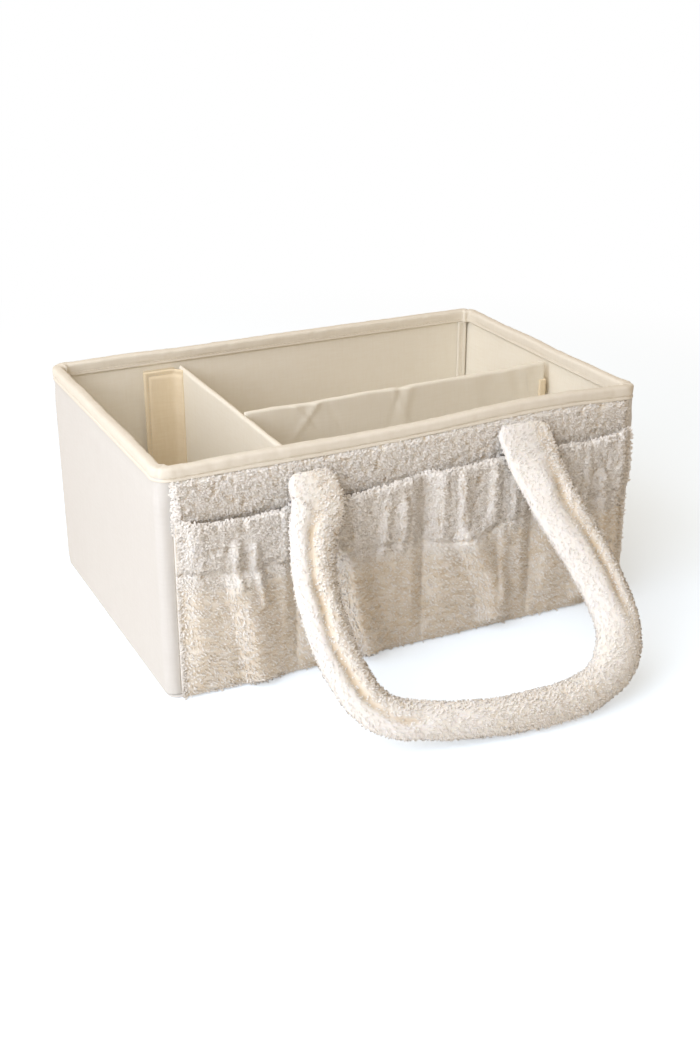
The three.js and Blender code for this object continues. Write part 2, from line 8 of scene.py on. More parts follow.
import bmesh
import bpy
import numpy as np
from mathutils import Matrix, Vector


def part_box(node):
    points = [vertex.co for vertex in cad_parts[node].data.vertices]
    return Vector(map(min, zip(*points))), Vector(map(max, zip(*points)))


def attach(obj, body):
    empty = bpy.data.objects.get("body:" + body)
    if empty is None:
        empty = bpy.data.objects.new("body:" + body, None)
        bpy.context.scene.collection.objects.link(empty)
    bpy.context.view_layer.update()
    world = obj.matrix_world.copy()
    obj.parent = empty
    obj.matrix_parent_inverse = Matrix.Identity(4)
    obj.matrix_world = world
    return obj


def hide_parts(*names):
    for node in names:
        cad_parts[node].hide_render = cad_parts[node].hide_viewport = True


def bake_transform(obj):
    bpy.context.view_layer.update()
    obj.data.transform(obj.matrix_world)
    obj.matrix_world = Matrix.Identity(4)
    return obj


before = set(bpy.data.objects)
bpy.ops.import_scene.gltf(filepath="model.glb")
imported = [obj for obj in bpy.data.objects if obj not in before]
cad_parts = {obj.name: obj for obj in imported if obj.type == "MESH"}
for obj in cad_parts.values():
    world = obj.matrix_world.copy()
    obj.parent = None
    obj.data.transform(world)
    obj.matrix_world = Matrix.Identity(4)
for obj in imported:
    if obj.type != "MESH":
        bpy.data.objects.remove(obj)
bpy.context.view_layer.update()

MM = 0.001
scene = bpy.context.scene


def span(node):
    low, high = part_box(node)
    return np.array(low) / MM, np.array(high) / MM


# Sizes that the solids have too, in millimetres
WALL_FACE = -span("front_pocket")[1][1]  # from the middle to the plane that the pockets lie on
FLEECE_END = span("front_fleece")[1][0]
BOARD_FACE = -span("front_fleece")[1][1]
WALL_LOW, WALL_HIGH = span("front_fleece")[0][2], span("front_fleece")[1][2]
BINDING_LOW, RIM = span("rim_binding")[0][2], span("rim_binding")[1][2]
POCKET_TOP = span("front_pocket")[1][2]
HEM_LINE = POCKET_TOP - 43
POCKET_SEAMS = (-95.0, 4.0, 95.0)
POCKET_GAP = 5.6  # how far the pocket's cloth stands off the wall between its seams
POCKET_RISE = 42.0  # height over which it leaves the wall
SEAM_REACH = 13.0  # distance over which a seam draws it in
COVER_RADIUS = 8.0
COVER_CLOTH = 1.0
FLEECE_BACKING = 1.2
BINDING_WIDTH = 7.5
HANDLE_FOLD = (0.0, -130.3, 156.7)  # the line that a handle folds up about
HANDLE_TILT = math.radians(42.705)
HINGE_DROP = 22.0  # how far down the handle its free part starts

# Sizes that only the cloths have
FLAP_SEAM = 3.2  # from a flap's edge to its stitched frame
STITCH_HEIGHT = BINDING_LOW + 2.3
STITCH_PITCH = 3.2
STITCH_SIZE = (2.4, 0.55, 0.6 * 0.55)
STITCH_LIFT = 0.25
RIM_WAVE = 0.6
BAND_LOW = 118  # the fleece's fine rows start here, behind the pockets' top edge
BAND_FREE = 126  # from here up its pile stands high, swells, and follows the rim
# how far the front wall's top edge stands above its solid's, by place along the wall
FRONT_RIM_LINE = (
    (-190, -0.8), (-60, -0.8), (-10, 0.2), (40, 2.0), (90, 4.0), (130, 4.0), (190, 1.0),
)


# Repeatable random fields

def scatter(cells, seed):
    """A number from 0 to 1 for each whole-numbered cell, always the same for the same seed."""
    key = cells.astype(np.int64).astype(np.uint32)
    mixed = key[..., 0] * np.uint32(0x9E3779B1)
    mixed ^= key[..., 1] * np.uint32(0x85EBCA77)
    mixed ^= key[..., 2] * np.uint32(0xC2B2AE3D)
    mixed ^= np.uint32((seed * 0x27D4EB2F) & 0xFFFFFFFF)
    for shift, factor in ((15, 0x2C1B3C6D), (12, 0x297A2D39)):
        mixed ^= mixed >> np.uint32(shift)
        mixed *= np.uint32(factor)
    mixed ^= mixed >> np.uint32(15)
    return mixed / 2.0 ** 32


def drift(points, size, seed):
    """Smooth random hills from -1 to 1. Size is one hill's width, or its width along X, Y and Z."""
    place = points / np.asarray(size, float)
    low = np.floor(place)
    share = place - low
    share = share * share * (3 - 2 * share)
    total = 0
    for corner in itertools.product((0, 1), repeat=3):
        weight = np.prod(np.where(corner, share, 1 - share), axis=-1)
        total = total + weight * scatter(low + np.array(corner), seed)
    return 2 * total - 1


def swells(points, size, seed):
    """The same hills, from 0 to 1."""
    return 0.5 + 0.5 * drift(points, size, seed)


def curls(points, size, seed):
    """The height of round curls packed side by side, 0 between them and 1 on top."""
    place = points / np.asarray(size, float)
    low = np.floor(place)
    nearest = np.full(place.shape[:-1], 9.0)
    for corner in itertools.product((-1, 0, 1), repeat=3):
        cell = low + np.array(corner)
        centre = cell + np.stack([scatter(cell, seed + k) for k in range(3)], -1)
        nearest = np.minimum(nearest, ((place - centre) ** 2).sum(-1))
    return np.sqrt(np.clip(1 - 1.2 * nearest, 0, 1))


def smooth(t):
    share = np.clip(t, 0, 1)
    return share * share * (3 - 2 * share)


def hump(distance, half_width):
    return np.exp(-((distance / half_width) ** 2))


def along_line(table, place):
    """The value at a place, read from a table of (place, value)."""
    marks, values = zip(*table)
    return np.interp(place, marks, values)


# Making meshes

def unit(vectors):
    return vectors / np.maximum(np.linalg.norm(vectors, axis=-1, keepdims=True), 1e-9)


def grid_normals(grid, outward):
    """Unit normals of a grid of points, on the side that faces outward."""
    normal = unit(np.cross(np.gradient(grid, axis=0), np.gradient(grid, axis=1)))
    return normal if (normal * outward).sum() > 0 else -normal


def loft(rings, closed=False):
    """Faces between rings of equal point counts. An open loft is closed by a face at each end."""
    count, size = rings.shape[:2]
    index = np.arange(count * size).reshape(count, size)
    near = index if closed else index[:-1]
    far = np.roll(index, -1, 0) if closed else index[1:]
    sides = [near, np.roll(near, -1, 1), np.roll(far, -1, 1), far]
    faces = np.stack(sides, -1).reshape(-1, 4).tolist()
    if not closed:
        faces += [index[0][::-1].tolist(), index[-1].tolist()]
    return faces


def in_scene(name, data):
    thing = bpy.data.objects.new(name, data)
    scene.collection.objects.link(thing)
    return thing


def new_piece(name, points, faces, material, attributes):
    """A smooth-shaded mesh, with a number at each of its points for every attribute."""
    mesh = bpy.data.meshes.new(name)
    mesh.from_pydata((points.reshape(-1, 3) * MM).tolist(), [], faces)
    for key, values in attributes.items():
        layer = mesh.attributes.new(key, "FLOAT", "POINT")
        layer.data.foreach_set("value", np.ravel(values).astype(np.float32))
    mesh.materials.append(material)
    mesh.polygons.foreach_set("use_smooth", [True] * len(mesh.polygons))
    return in_scene(name, mesh)


def make(name, points, faces, material, **attributes):
    """A closed piece, with its doubles merged and its faces turned outwards."""
    piece = new_piece(name, points, faces, material, attributes)
    form = bmesh.new()
    form.from_mesh(piece.data)
    bmesh.ops.remove_doubles(form, verts=form.verts, dist=1e-6)
    bmesh.ops.recalc_face_normals(form, faces=form.faces)
    form.to_mesh(piece.data)
    form.free()
    return piece


def settle(piece, body, nodes):
    """Puts a cloth piece on its body and hides the solids that it dresses."""
    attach(piece, body)
    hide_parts(*nodes)


def steps(low, high, step):
    """Even marks from low to high, about a step apart."""
    return np.linspace(low, high, max(2, round((high - low) / step)) + 1)


def join(*values, order=(0, 1, 2)):
    """Points from their coordinates, which come in this order of axes."""
    return np.stack(np.broadcast_arrays(*values), -1)[..., np.argsort(order)]


def way_along(path):
    """How far along a line of points each of them is."""
    return np.concatenate([[0], np.cumsum(np.linalg.norm(np.diff(path, axis=0), axis=1))])


def points_at(path, way, marks):
    """The points of a line at marks on the way along it."""
    return np.stack([np.interp(marks, way, axis) for axis in path.T], -1)


def away(points, nodes, reach):
    """0 on and near the named neighbours, and 1 further from them than the reach."""
    free = np.ones(points.shape[:-1])
    for node in nodes:
        low, high = span(node)
        gap = np.maximum(np.maximum(low - points, points - high), 0)
        free = np.minimum(free, smooth(np.linalg.norm(gap, axis=-1) / reach - 0.4))
    return free


def edge_share(place, low, high, radius):
    """The share of its thickness that a cloth has near its two rounded ends."""
    inset = np.clip(np.minimum(place - low, high - place) / radius, 0.03, 1)
    return np.sqrt(1 - (1 - inset) ** 2)


def panel(name, us, vs, thickness, place, material, relief, radius=None):
    """A cloth with rounded edges. place turns (u, v, height above its back) into a point, and
    relief is how far its front face stands up at a place."""
    radius = radius or thickness / 2
    half = thickness / 2
    low, high = vs[0], vs[-1]
    front_v = vs[(vs > low + radius) & (vs < high - radius)]
    back_v = front_v[:: max(1, len(front_v) // 24)][::-1]
    turn = np.linspace(-math.pi / 2, math.pi / 2, 5)
    v = np.concatenate([
        front_v,
        high - radius + radius * np.cos(turn[::-1]),
        back_v,
        low + radius - radius * np.cos(turn),
    ])
    side = np.concatenate([
        np.ones(len(front_v)), np.sin(turn[::-1]), -np.ones(len(back_v)), np.sin(turn),
    ])
    ends = [us[0] + radius * k for k in (0.08, 0.3, 0.65, 1)]
    ends += [us[-1] - radius * k for k in (1, 0.65, 0.3, 0.08)]
    inner = us[(us > us[0] + 1.2 * radius) & (us < us[-1] - 1.2 * radius)]
    u = np.sort(np.concatenate([inner, ends]))
    grid_u, grid_v = np.meshgrid(u, v, indexing="ij")
    rounding = edge_share(grid_u, us[0], us[-1], radius)
    flat_point = place(grid_u, grid_v, np.full(grid_u.shape, thickness))
    front = np.clip(side, 0, 1) * np.ones(grid_u.shape)
    raised = relief(flat_point) * front * edge_share(grid_u, us[0], us[-1], 3 * radius)
    points = place(grid_u, grid_v, half + half * rounding * side + raised)
    return make(name, points, loft(points), material)


def flat_cloth(name, node, facing, material, relief, step=3.0, radius=None):
    """A cloth that fills its node's flat box. Facing is the side that shows, such as '+y'."""
    low, high = span(node)
    axis = "xyz".index(facing[1])
    others = [k for k in range(3) if k != axis]
    sign = 1 if facing[0] == "+" else -1
    start = low[axis] if sign > 0 else high[axis]

    def place(u, v, w):
        return join(u, v, start + sign * w, order=(*others, axis))

    us, vs = (steps(low[k], high[k], step) for k in others)
    return panel(name, us, vs, high[axis] - low[axis], place, material, relief, radius)


# Tufts of pile and stitches

TUFT_STATIONS = ((0.0, 0.9), (0.7, 0.95), (1.0, 0.0))  # (share of its length, width)
TUFT_SIDES = 3
TUFT_ROOT = 0.3  # how deep it sits in the cloth, in half widths
TUFT_SPREAD = 0.75  # how far its sides face away from where the cloth faces


def tufts(name, grid, outward, spacing, seed, length, width, bend, lean, wild, share=1.0,
          tone=0.0):
    """Curled tufts on a grid of points. Each is a blunt lock that rises from its root and
    bends over, and is closed. Length, width and bend are numbers, or one for each grid point.
    Lean is where they bend to, wild is how much of that is chance. Share is how close together
    they stand, and tone makes them lighter. They are shaded mostly as the cloth under them, as
    soft pile is."""
    dice = np.random.default_rng(seed)
    normals = grid_normals(grid, outward)
    across, up = np.diff(grid, axis=0)[:, :-1], np.diff(grid, axis=1)[:-1]
    area = np.linalg.norm(np.cross(across, up), axis=-1)
    total = np.cumsum((area * (share * np.ones(grid.shape[:2]))[:-1, :-1]).ravel())
    count = int(total[-1] / spacing ** 2)
    marks = (np.arange(count) + dice.random(count)) / count * total[-1]
    i, j = np.unravel_index(np.searchsorted(total, marks), area.shape)
    s, t = dice.random(count), dice.random(count)

    def at(field):
        field = field * np.ones(grid.shape[:2]) if np.ndim(field) < 3 else field
        a, b = (s, t) if field.ndim == 2 else (s[:, None], t[:, None])
        near = field[i, j] * (1 - b) + field[i, j + 1] * b
        far = field[i + 1, j] * (1 - b) + field[i + 1, j + 1] * b
        return near * (1 - a) + far * a

    roots, normal = at(grid), unit(at(normals))
    towards = np.broadcast_to(np.asarray(lean, float), grid.shape)
    towards = at(towards) + wild * dice.normal(size=roots.shape)
    towards = unit(towards - (towards * normal).sum(-1, keepdims=True) * normal)
    side = np.cross(normal, towards)
    chance = dice.normal(size=(3, count)).clip(-2, 2)
    reach = at(length) * (1 + 0.2 * chance[0])
    half = at(width) / 2 * (1 + 0.18 * chance[1])
    curve = np.clip(at(bend) * (1 + 0.2 * chance[2]), 0.2, 3.6)
    roots = roots - TUFT_ROOT * half[:, None] * normal
    columns, shades, facings = [], [], []
    for t_along, girth in TUFT_STATIONS:
        turn = (curve * t_along)[:, None]
        centre = roots + (reach / curve)[:, None] * (
            np.sin(turn) * normal + (1 - np.cos(turn)) * towards
        )
        out = np.cos(turn) * towards - np.sin(turn) * normal
        around = TUFT_SIDES if girth else 1
        for k in range(around):
            angle = 2 * math.pi * k / TUFT_SIDES
            ring = math.cos(angle) * out + math.sin(angle) * side
            columns.append(centre + ring * girth * half[:, None])
            facings.append(unit(normal + TUFT_SPREAD * ring * girth))
            # painted shade: each tuft is darker at its root, down in the pile, and lighter at its
            # tip
            shades.append(0.25 + 0.75 * t_along + at(tone) + 0.15 * chance[0])
    points = np.stack(columns, 1)
    rows = np.arange(TUFT_SIDES * (len(TUFT_STATIONS) - 1)).reshape(-1, TUFT_SIDES)
    after = np.roll(rows, -1, 1)
    low_side = np.stack([rows[:-1], after[:-1], after[1:]], -1).reshape(-1, 3)
    high_side = np.stack([rows[:-1], after[1:], rows[1:]], -1).reshape(-1, 3)
    tip = np.stack([rows[-1], after[-1], np.full(TUFT_SIDES, rows.size)], -1)
    pattern = np.concatenate([rows[:1, ::-1], low_side, high_side, tip])
    faces = (np.arange(count)[:, None, None] * points.shape[1] + pattern).reshape(-1, 3)
    piece = new_piece(name, points, faces.tolist(), PILE, {"pile": np.stack(shades, 1)})
    piece.data.normals_split_custom_set_from_vertices(np.stack(facings, 1).reshape(-1, 3))
    return piece


def one_stitch():
    """A thread's short run over cloth: a flattened six-sided bead with drawn-in ends, 1 long."""
    bpy.ops.object.select_all(action="DESELECT")
    bpy.ops.mesh.primitive_cylinder_add(
        vertices=6, radius=0.5, depth=0.6, end_fill_type="NGON", rotation=(0, math.pi / 2, 0)
    )
    bead = bpy.context.active_object
    bpy.ops.object.transform_apply(location=True, rotation=True, scale=True)
    bpy.ops.object.mode_set(mode="EDIT")
    form = bmesh.from_edit_mesh(bead.data)
    for sign in (-1, 1):
        bpy.ops.mesh.select_all(action="DESELECT")
        form.faces.ensure_lookup_table()
        for face in form.faces:
            face.select_set(face.normal.x * sign > 0.9)
        bpy.ops.mesh.extrude_region_move(TRANSFORM_OT_translate={"value": (0.2 * sign, 0, 0)})
        bpy.ops.transform.resize(value=(1, 0.45, 0.45))
    bpy.ops.object.mode_set(mode="OBJECT")
    points = np.array([v.co for v in bead.data.vertices])
    faces = [list(p.vertices) for p in bead.data.polygons]
    bpy.data.objects.remove(bead)
    return points, faces


STITCH_POINTS, STITCH_FACES = one_stitch()


def sew(name, body, path, outward):
    """Stitches along a line of points. Outward is the way that the cloth under them faces, or a
    function that finds it from the ways that the stitches run."""
    way = way_along(path)
    marks = np.arange(STITCH_PITCH / 2, way[-1], STITCH_PITCH)
    places, ahead, before = (points_at(path, way, marks + shift) for shift in (0, 0.3, -0.3))
    runs = ahead - before
    normal = unit(outward(runs) if callable(outward) else outward + 0 * runs)
    along = unit(runs)
    side = np.cross(normal, along)
    local = STITCH_POINTS * np.array(STITCH_SIZE)
    points = places[:, None] + sum(
        local[None, :, k:k + 1] * axis[:, None] for k, axis in enumerate((along, side, normal))
    )
    faces = [
        [corner + k * len(local) for corner in face]
        for k in range(len(places)) for face in STITCH_FACES
    ]
    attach(new_piece(name, points, faces, THREAD, {}), body)


# Materials

SHEEN = "#FFFAF2"
IN_COLOUR = {"data_type": "RGBA"}


def linear(code):
    """An sRGB hex colour as linear numbers."""
    parts = [int(code[i:i + 2], 16) / 255 for i in (1, 3, 5)]
    return [c / 12.92 if c <= 0.04045 else ((c + 0.055) / 1.055) ** 2.4 for c in parts] + [1]


def add(tree, kind, settings, sockets):
    """Adds a node. A socket's value is a constant, or the output of another node, which may be
    given as the node itself where that is its first output."""
    made = tree.nodes.new(kind)
    for key, value in settings.items():
        setattr(made, key, value)
    for key, value in sockets.items():
        if isinstance(value, bpy.types.Node):
            value = value.outputs[0]
        if isinstance(value, bpy.types.NodeSocket):
            tree.links.new(value, made.inputs[key])
        else:
            made.inputs[key].default_value = value
    return made


def begin(name):
    material = bpy.data.materials.new(name)
    material.use_nodes = True
    tree = material.node_tree
    tree.nodes.clear()
    place = add(tree, "ShaderNodeTexCoord", {}, {}).outputs["Object"]
    return material, tree, place


def complete(material, colour, roughness, specular, height, relief, strength, more):
    """Ends a material. Its height pattern stands up by the relief in millimetres."""
    tree = material.node_tree
    bump = add(tree, "ShaderNodeBump", {}, {
        "Strength": strength, "Distance": relief * MM, "Height": height,
    })
    shader = add(tree, "ShaderNodeBsdfPrincipled", {}, {
        "Base Color": colour.outputs[2], "Roughness": roughness, "Specular IOR Level": specular,
        "Normal": bump, **more,
    })
    add(tree, "ShaderNodeOutputMaterial", {}, {"Surface": shader})
    return material


def fleece_material(name, glow):
    """Sherpa fleece, knitted polyester that is brushed up and curled: matt, with soft edges,
    cream at the ends of its tufts. Down between them, where the pile number is low, it is painted
    tan, a painted shade for the hollows. Glow is the share of the light that spreads inside it."""
    material, tree, place = begin(name)
    pile = add(tree, "ShaderNodeAttribute", {"attribute_name": "pile"}, {}).outputs["Fac"]
    fibre = add(tree, "ShaderNodeTexNoise", {}, {"Vector": place, "Scale": 1400, "Detail": 3.0})
    height = add(tree, "ShaderNodeMath", {"operation": "MULTIPLY_ADD"}, {
        0: fibre, 1: 0.3, 2: pile,
    })
    share = add(tree, "ShaderNodeMapRange", {}, {0: height, 1: 0.1, 2: 0.95})
    patches = add(tree, "ShaderNodeTexNoise", {}, {"Vector": place, "Scale": 29, "Detail": 2.0})
    # the first mix is painted shade for the hollows between tufts, the second the cream of the tips
    shaded_hollows, tips = (
        add(tree, "ShaderNodeMix", IN_COLOUR, {0: patches, 6: linear(one), 7: linear(other)})
        for one, other in (("#DBC6A2", "#E5D2B2"), ("#FFFCF8", "#FDF8F0"))
    )
    colour = add(tree, "ShaderNodeMix", IN_COLOUR, {
        0: share, 6: shaded_hollows.outputs[2], 7: tips.outputs[2],
    })
    return complete(
        material, colour, roughness=0.97, specular=0.15, height=fibre, relief=0.3, strength=0.4,
        more={
            "Sheen Weight": 0.25, "Sheen Roughness": 0.55, "Sheen Tint": linear(SHEEN),
            "Subsurface Weight": glow, "Subsurface Radius": [0.0032, 0.0029, 0.0025],
            "Subsurface Scale": 1.0,
        },
    )


def woven_material(name, colour, shade, thread, roughness, relief):
    """Plain weave: each thread passes over one and under the next, so one wave of the pattern
    spans two threads. Slubs, the thicker places of a thread, show as short fine streaks."""
    material, tree, place = begin(name)
    rate = 2 * math.pi / (20 * 2 * thread * MM)
    across, up, along = [
        add(tree, "ShaderNodeTexWave", {"bands_direction": direction}, {
            "Vector": place, "Scale": rate, "Distortion": 0.4, "Phase Offset": phase,
        }).outputs[1] for direction, phase in (("X", 0.0), ("Z", 1.57), ("Y", 0.8))
    ]
    level = add(tree, "ShaderNodeMath", {"operation": "ADD"}, {0: across, 1: along})
    weave = add(tree, "ShaderNodeMath", {"operation": "MULTIPLY"}, {0: level, 1: up})
    streaks = []
    for stretch in ((1, 1, 9), (9, 9, 1)):
        scaled = add(tree, "ShaderNodeMapping", {}, {
            "Vector": place, "Scale": [1 / s for s in stretch],
        })
        streaks.append(add(tree, "ShaderNodeTexNoise", {}, {"Vector": scaled, "Scale": 620}))
    slubs = add(tree, "ShaderNodeMath", {"operation": "ADD"}, {0: streaks[0], 1: streaks[1]})
    clouds = add(tree, "ShaderNodeTexNoise", {}, {"Vector": place, "Scale": 17, "Detail": 2.0})
    both = add(tree, "ShaderNodeMath", {"operation": "MULTIPLY_ADD"}, {
        0: clouds, 1: 0.6, 2: slubs,
    })
    share = add(tree, "ShaderNodeMapRange", {}, {0: both, 1: 1.0, 2: 1.7, 4: 0.45})
    tone = add(tree, "ShaderNodeMix", IN_COLOUR, {0: share, 6: linear(colour), 7: linear(shade)})
    height = add(tree, "ShaderNodeMath", {"operation": "ADD"}, {0: weave, 1: slubs})
    return complete(
        material, tone, roughness, specular=0.3, height=height, relief=relief, strength=0.3,
        more={"Sheen Weight": 0.12, "Sheen Roughness": 0.5, "Sheen Tint": linear(SHEEN)},
    )


def grained_material(name, colour, shade, grain, roughness, relief, stretch=(1, 1, 1)):
    """One finish with a fine grain, such as extruded board, foam cells or a brushed loop tape."""
    material, tree, place = begin(name)
    scaled = add(tree, "ShaderNodeMapping", {}, {
        "Vector": place, "Scale": [1 / s for s in stretch],
    })
    fine = add(tree, "ShaderNodeTexNoise", {}, {
        "Vector": scaled, "Scale": 1000 / grain, "Detail": 3.0,
    })
    tone = add(tree, "ShaderNodeMix", IN_COLOUR, {0: fine, 6: linear(colour), 7: linear(shade)})
    return complete(
        material, tone, roughness, specular=0.35, height=fine, relief=relief, strength=0.5, more={},
    )


FLEECE = fleece_material("sherpa_fleece_cloth", glow=0.45)
PILE = fleece_material("sherpa_fleece_pile", glow=0.0)
# two tones, then the width of a thread or grain, the roughness and the relief
COVER = woven_material("polycotton_cover_plain_weave", "#E1DFDB", "#D9D6D1", 0.3, 0.86, 0.02)
LINING = woven_material("polycotton_lining_plain_weave", "#F4EFE2", "#ECE4D2", 0.3, 0.82, 0.02)
# the flaps are the lining's cloth painted a darker tan: painted shade, as they sit shaded by the
# walls
FLAP_SHADED_CLOTH = woven_material("polycotton_flap_plain_weave_painted_shade", "#F1E2C6", "#E5D2AE", 0.35, 0.84, 0.03)
BINDING = woven_material("cotton_binding_plain_weave", "#EFE9DC", "#E6DECD", 0.4, 0.78, 0.03)
THREAD = grained_material("spun_polyester_thread", "#F3ECDF", "#E2D6C1", 0.5, 0.7, 0.1)
BOARD = grained_material("extruded_polyethylene_board", "#D9D4C8", "#CFC9BA", 3.0, 0.55, 0.05)
LOOP = grained_material("nylon_loop_tape_brushed", "#EADFC9", "#D3C3A2", 0.8, 0.95, 0.35)
HOOK = grained_material("nylon_hook_tape_moulded", "#E2D6BD", "#C3B390", 1.3, 0.6, 0.5)
ELASTIC = grained_material(
    "knitted_elastic_ribbed", "#F4F1EA", "#E1DCCF", 1.2, 0.8, 0.25, (1, 1, 12)
)
FOAM = grained_material("polyester_wadding_needled", "#F1EAD6", "#E2D8BE", 1.5, 0.95, 0.4)

for node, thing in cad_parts.items():
    kind = node.rsplit("_", 1)[-1]
    thing.data.materials.clear()
    thing.data.materials.append({"board": BOARD, "elastic": ELASTIC}.get(kind, FOAM))


# Walls, base and dividers

SWELL_SIZE = np.array([55, 55, 80])  # width of a lining's swellings along X, Y and Z


def linings():
    """Cloths over the boards. They swell a little, and are calm next to what lies on them."""
    strips = [f"corner_binding_{wall}_{end}" for wall in ("front", "back")
              for end in ("left", "right")] + ["rim_binding"]
    walls = [
        ("front_lining", "+y", "front_board", strips + ["front_loop_tape"], 0.9, 41),
        ("back_lining", "-y", "back_board", strips + ["back_loop_tape"], 0.9, 43),
        ("left_lining", "+x", "left_board", ["rim_binding"], 0.9, 47),
        ("right_lining", "-x", "right_board",
         ["rim_binding", "right_loop_tape", "long_flap_right"], 0.9, 53),
        ("base_lining", "+z", "base_board", [], 0.2, 59),
    ]
    for node, facing, board, neighbours, depth, seed in walls:
        def relief(points):
            broad = swells(points, SWELL_SIZE, seed)
            fine = swells(points, SWELL_SIZE / 3, seed + 1)
            return depth * (0.75 * broad + 0.25 * fine) * away(points, neighbours, 12)

        piece = flat_cloth(node + "_cloth", node, facing, LINING, relief)
        settle(piece, "caddy", [node])


def end_cover(side):
    """The cloth of one end, wrapped a little way round onto both long sides."""
    sign = 1 if side == "right" else -1
    name = f"{side}_end_cover"
    node_low, node_high = span(name)
    inner, far = sorted((abs(node_low[0]), abs(node_high[0])))
    bend, half_y = far - COVER_RADIUS, node_high[1]
    straight = bend - inner
    marks = np.cumsum([
        0, straight, COVER_RADIUS * math.pi / 2, 2 * (half_y - COVER_RADIUS),
        COVER_RADIUS * math.pi / 2, straight,
    ])
    parts = [steps(marks[k], marks[k + 1], 2.5 if k == 2 else 0.8)[k > 0:] for k in range(5)]

    def place(along, height, w):
        quarter = [
            np.clip((along - start) / (COVER_RADIUS * math.pi / 2), 0, 1) * math.pi / 2
            for start in (marks[1], marks[3])
        ]
        angle = quarter[0] + quarter[1] - math.pi / 2
        ahead = np.clip(along, 0, marks[1]) - np.clip(along - marks[4], 0, straight)
        x = inner + ahead + COVER_RADIUS * np.cos(angle)
        y = (COVER_RADIUS - half_y + np.clip(along - marks[2], 0, marks[3] - marks[2])
             + COVER_RADIUS * np.sin(angle))
        lift = w - COVER_CLOTH
        point = join(x + np.cos(angle) * lift, y + np.sin(angle) * lift, height)
        return point * np.array([sign, sign, 1])

    def relief(points):
        broad = swells(points, (60, 34, 150), 61 + sign)
        fine = swells(points, (30, 14, 60), 67 + sign)
        height = points[..., 2]
        below = smooth((BINDING_LOW - 5 - height) / 12) * smooth((height - 2) / 10)
        clear = smooth((abs(points[..., 0]) - inner - 2) / 6)
        return (0.8 * broad + 0.25 * fine) * below * clear

    ways, heights = np.concatenate(parts), steps(WALL_LOW, WALL_HIGH, 2.5)
    piece = panel(name + "_cloth", ways, heights, COVER_CLOTH, place, COVER, relief)
    settle(piece, "caddy", [name])


def rounded_outline(half_x, half_y, radius, step):
    """Points and outward normals round a rectangle with round corners, at even steps."""
    flats = [(1, 0, half_y), (0, 1, half_x), (-1, 0, half_y), (0, -1, half_x)]
    points, normals = [], []
    for quarter, (nx, ny, half) in enumerate(flats):
        along = np.array([-ny, nx])
        face = np.array([nx * half_x, ny * half_y])
        for t in steps(-(half - radius), half - radius, step)[:-1]:
            points.append(face + along * t)
            normals.append((nx, ny))
        centre = face + along * (half - radius) - np.array([nx, ny]) * radius
        count = max(6, round(radius * math.pi / 2 / step))
        for i in range(count):
            angle = (quarter + i / count) * math.pi / 2
            direction = np.array([math.cos(angle), math.sin(angle)])
            points.append(centre + radius * direction)
            normals.append(tuple(direction))
    return np.array(points), np.array(normals)


def base_panel():
    """The cloth under the base, turned round its edge."""
    low, high = span("base_panel")
    points, normals = rounded_outline(high[0], high[1], COVER_RADIUS, step=6)
    half = (high[2] - low[2]) / 2
    scales = (0.25, 0.5, 0.75, 0.9, 0.97)
    levels = [(points * scale, low[2]) for scale in scales]
    for angle in np.linspace(-math.pi / 2, math.pi / 2, 7):
        edge = points - normals * half * (1 - math.cos(angle))
        levels.append((edge, low[2] + half * (1 + math.sin(angle))))
    levels += [(points * scale, high[2]) for scale in scales[::-1]]
    rings = np.array([np.column_stack([at, np.full(len(at), level)]) for at, level in levels])
    piece = make("base_panel_cloth", rings, loft(rings), COVER)
    settle(piece, "caddy", ["base_panel"])


def ribbon(path, thickness):
    """A closed profile of a cloth that follows a path of (inset, height) points."""
    path = np.array(path, float)
    tangent = unit(np.gradient(path, axis=0))
    normal = np.column_stack([tangent[:, 1], -tangent[:, 0]])
    half = thickness / 2
    turn = np.linspace(0, math.pi, 5)[1:-1, None]
    cap_end = path[-1] + half * (tangent[-1] * np.sin(turn) - normal[-1] * np.cos(turn))
    cap_start = path[0] - half * (tangent[0] * np.sin(turn) - normal[0] * np.cos(turn))
    return np.concatenate([path - normal * half, cap_end, (path + normal * half)[::-1], cap_start])


def rim_rise(points):
    return along_line(FRONT_RIM_LINE, points[..., 0]) * smooth((-points[..., 1] - 100) / 20)


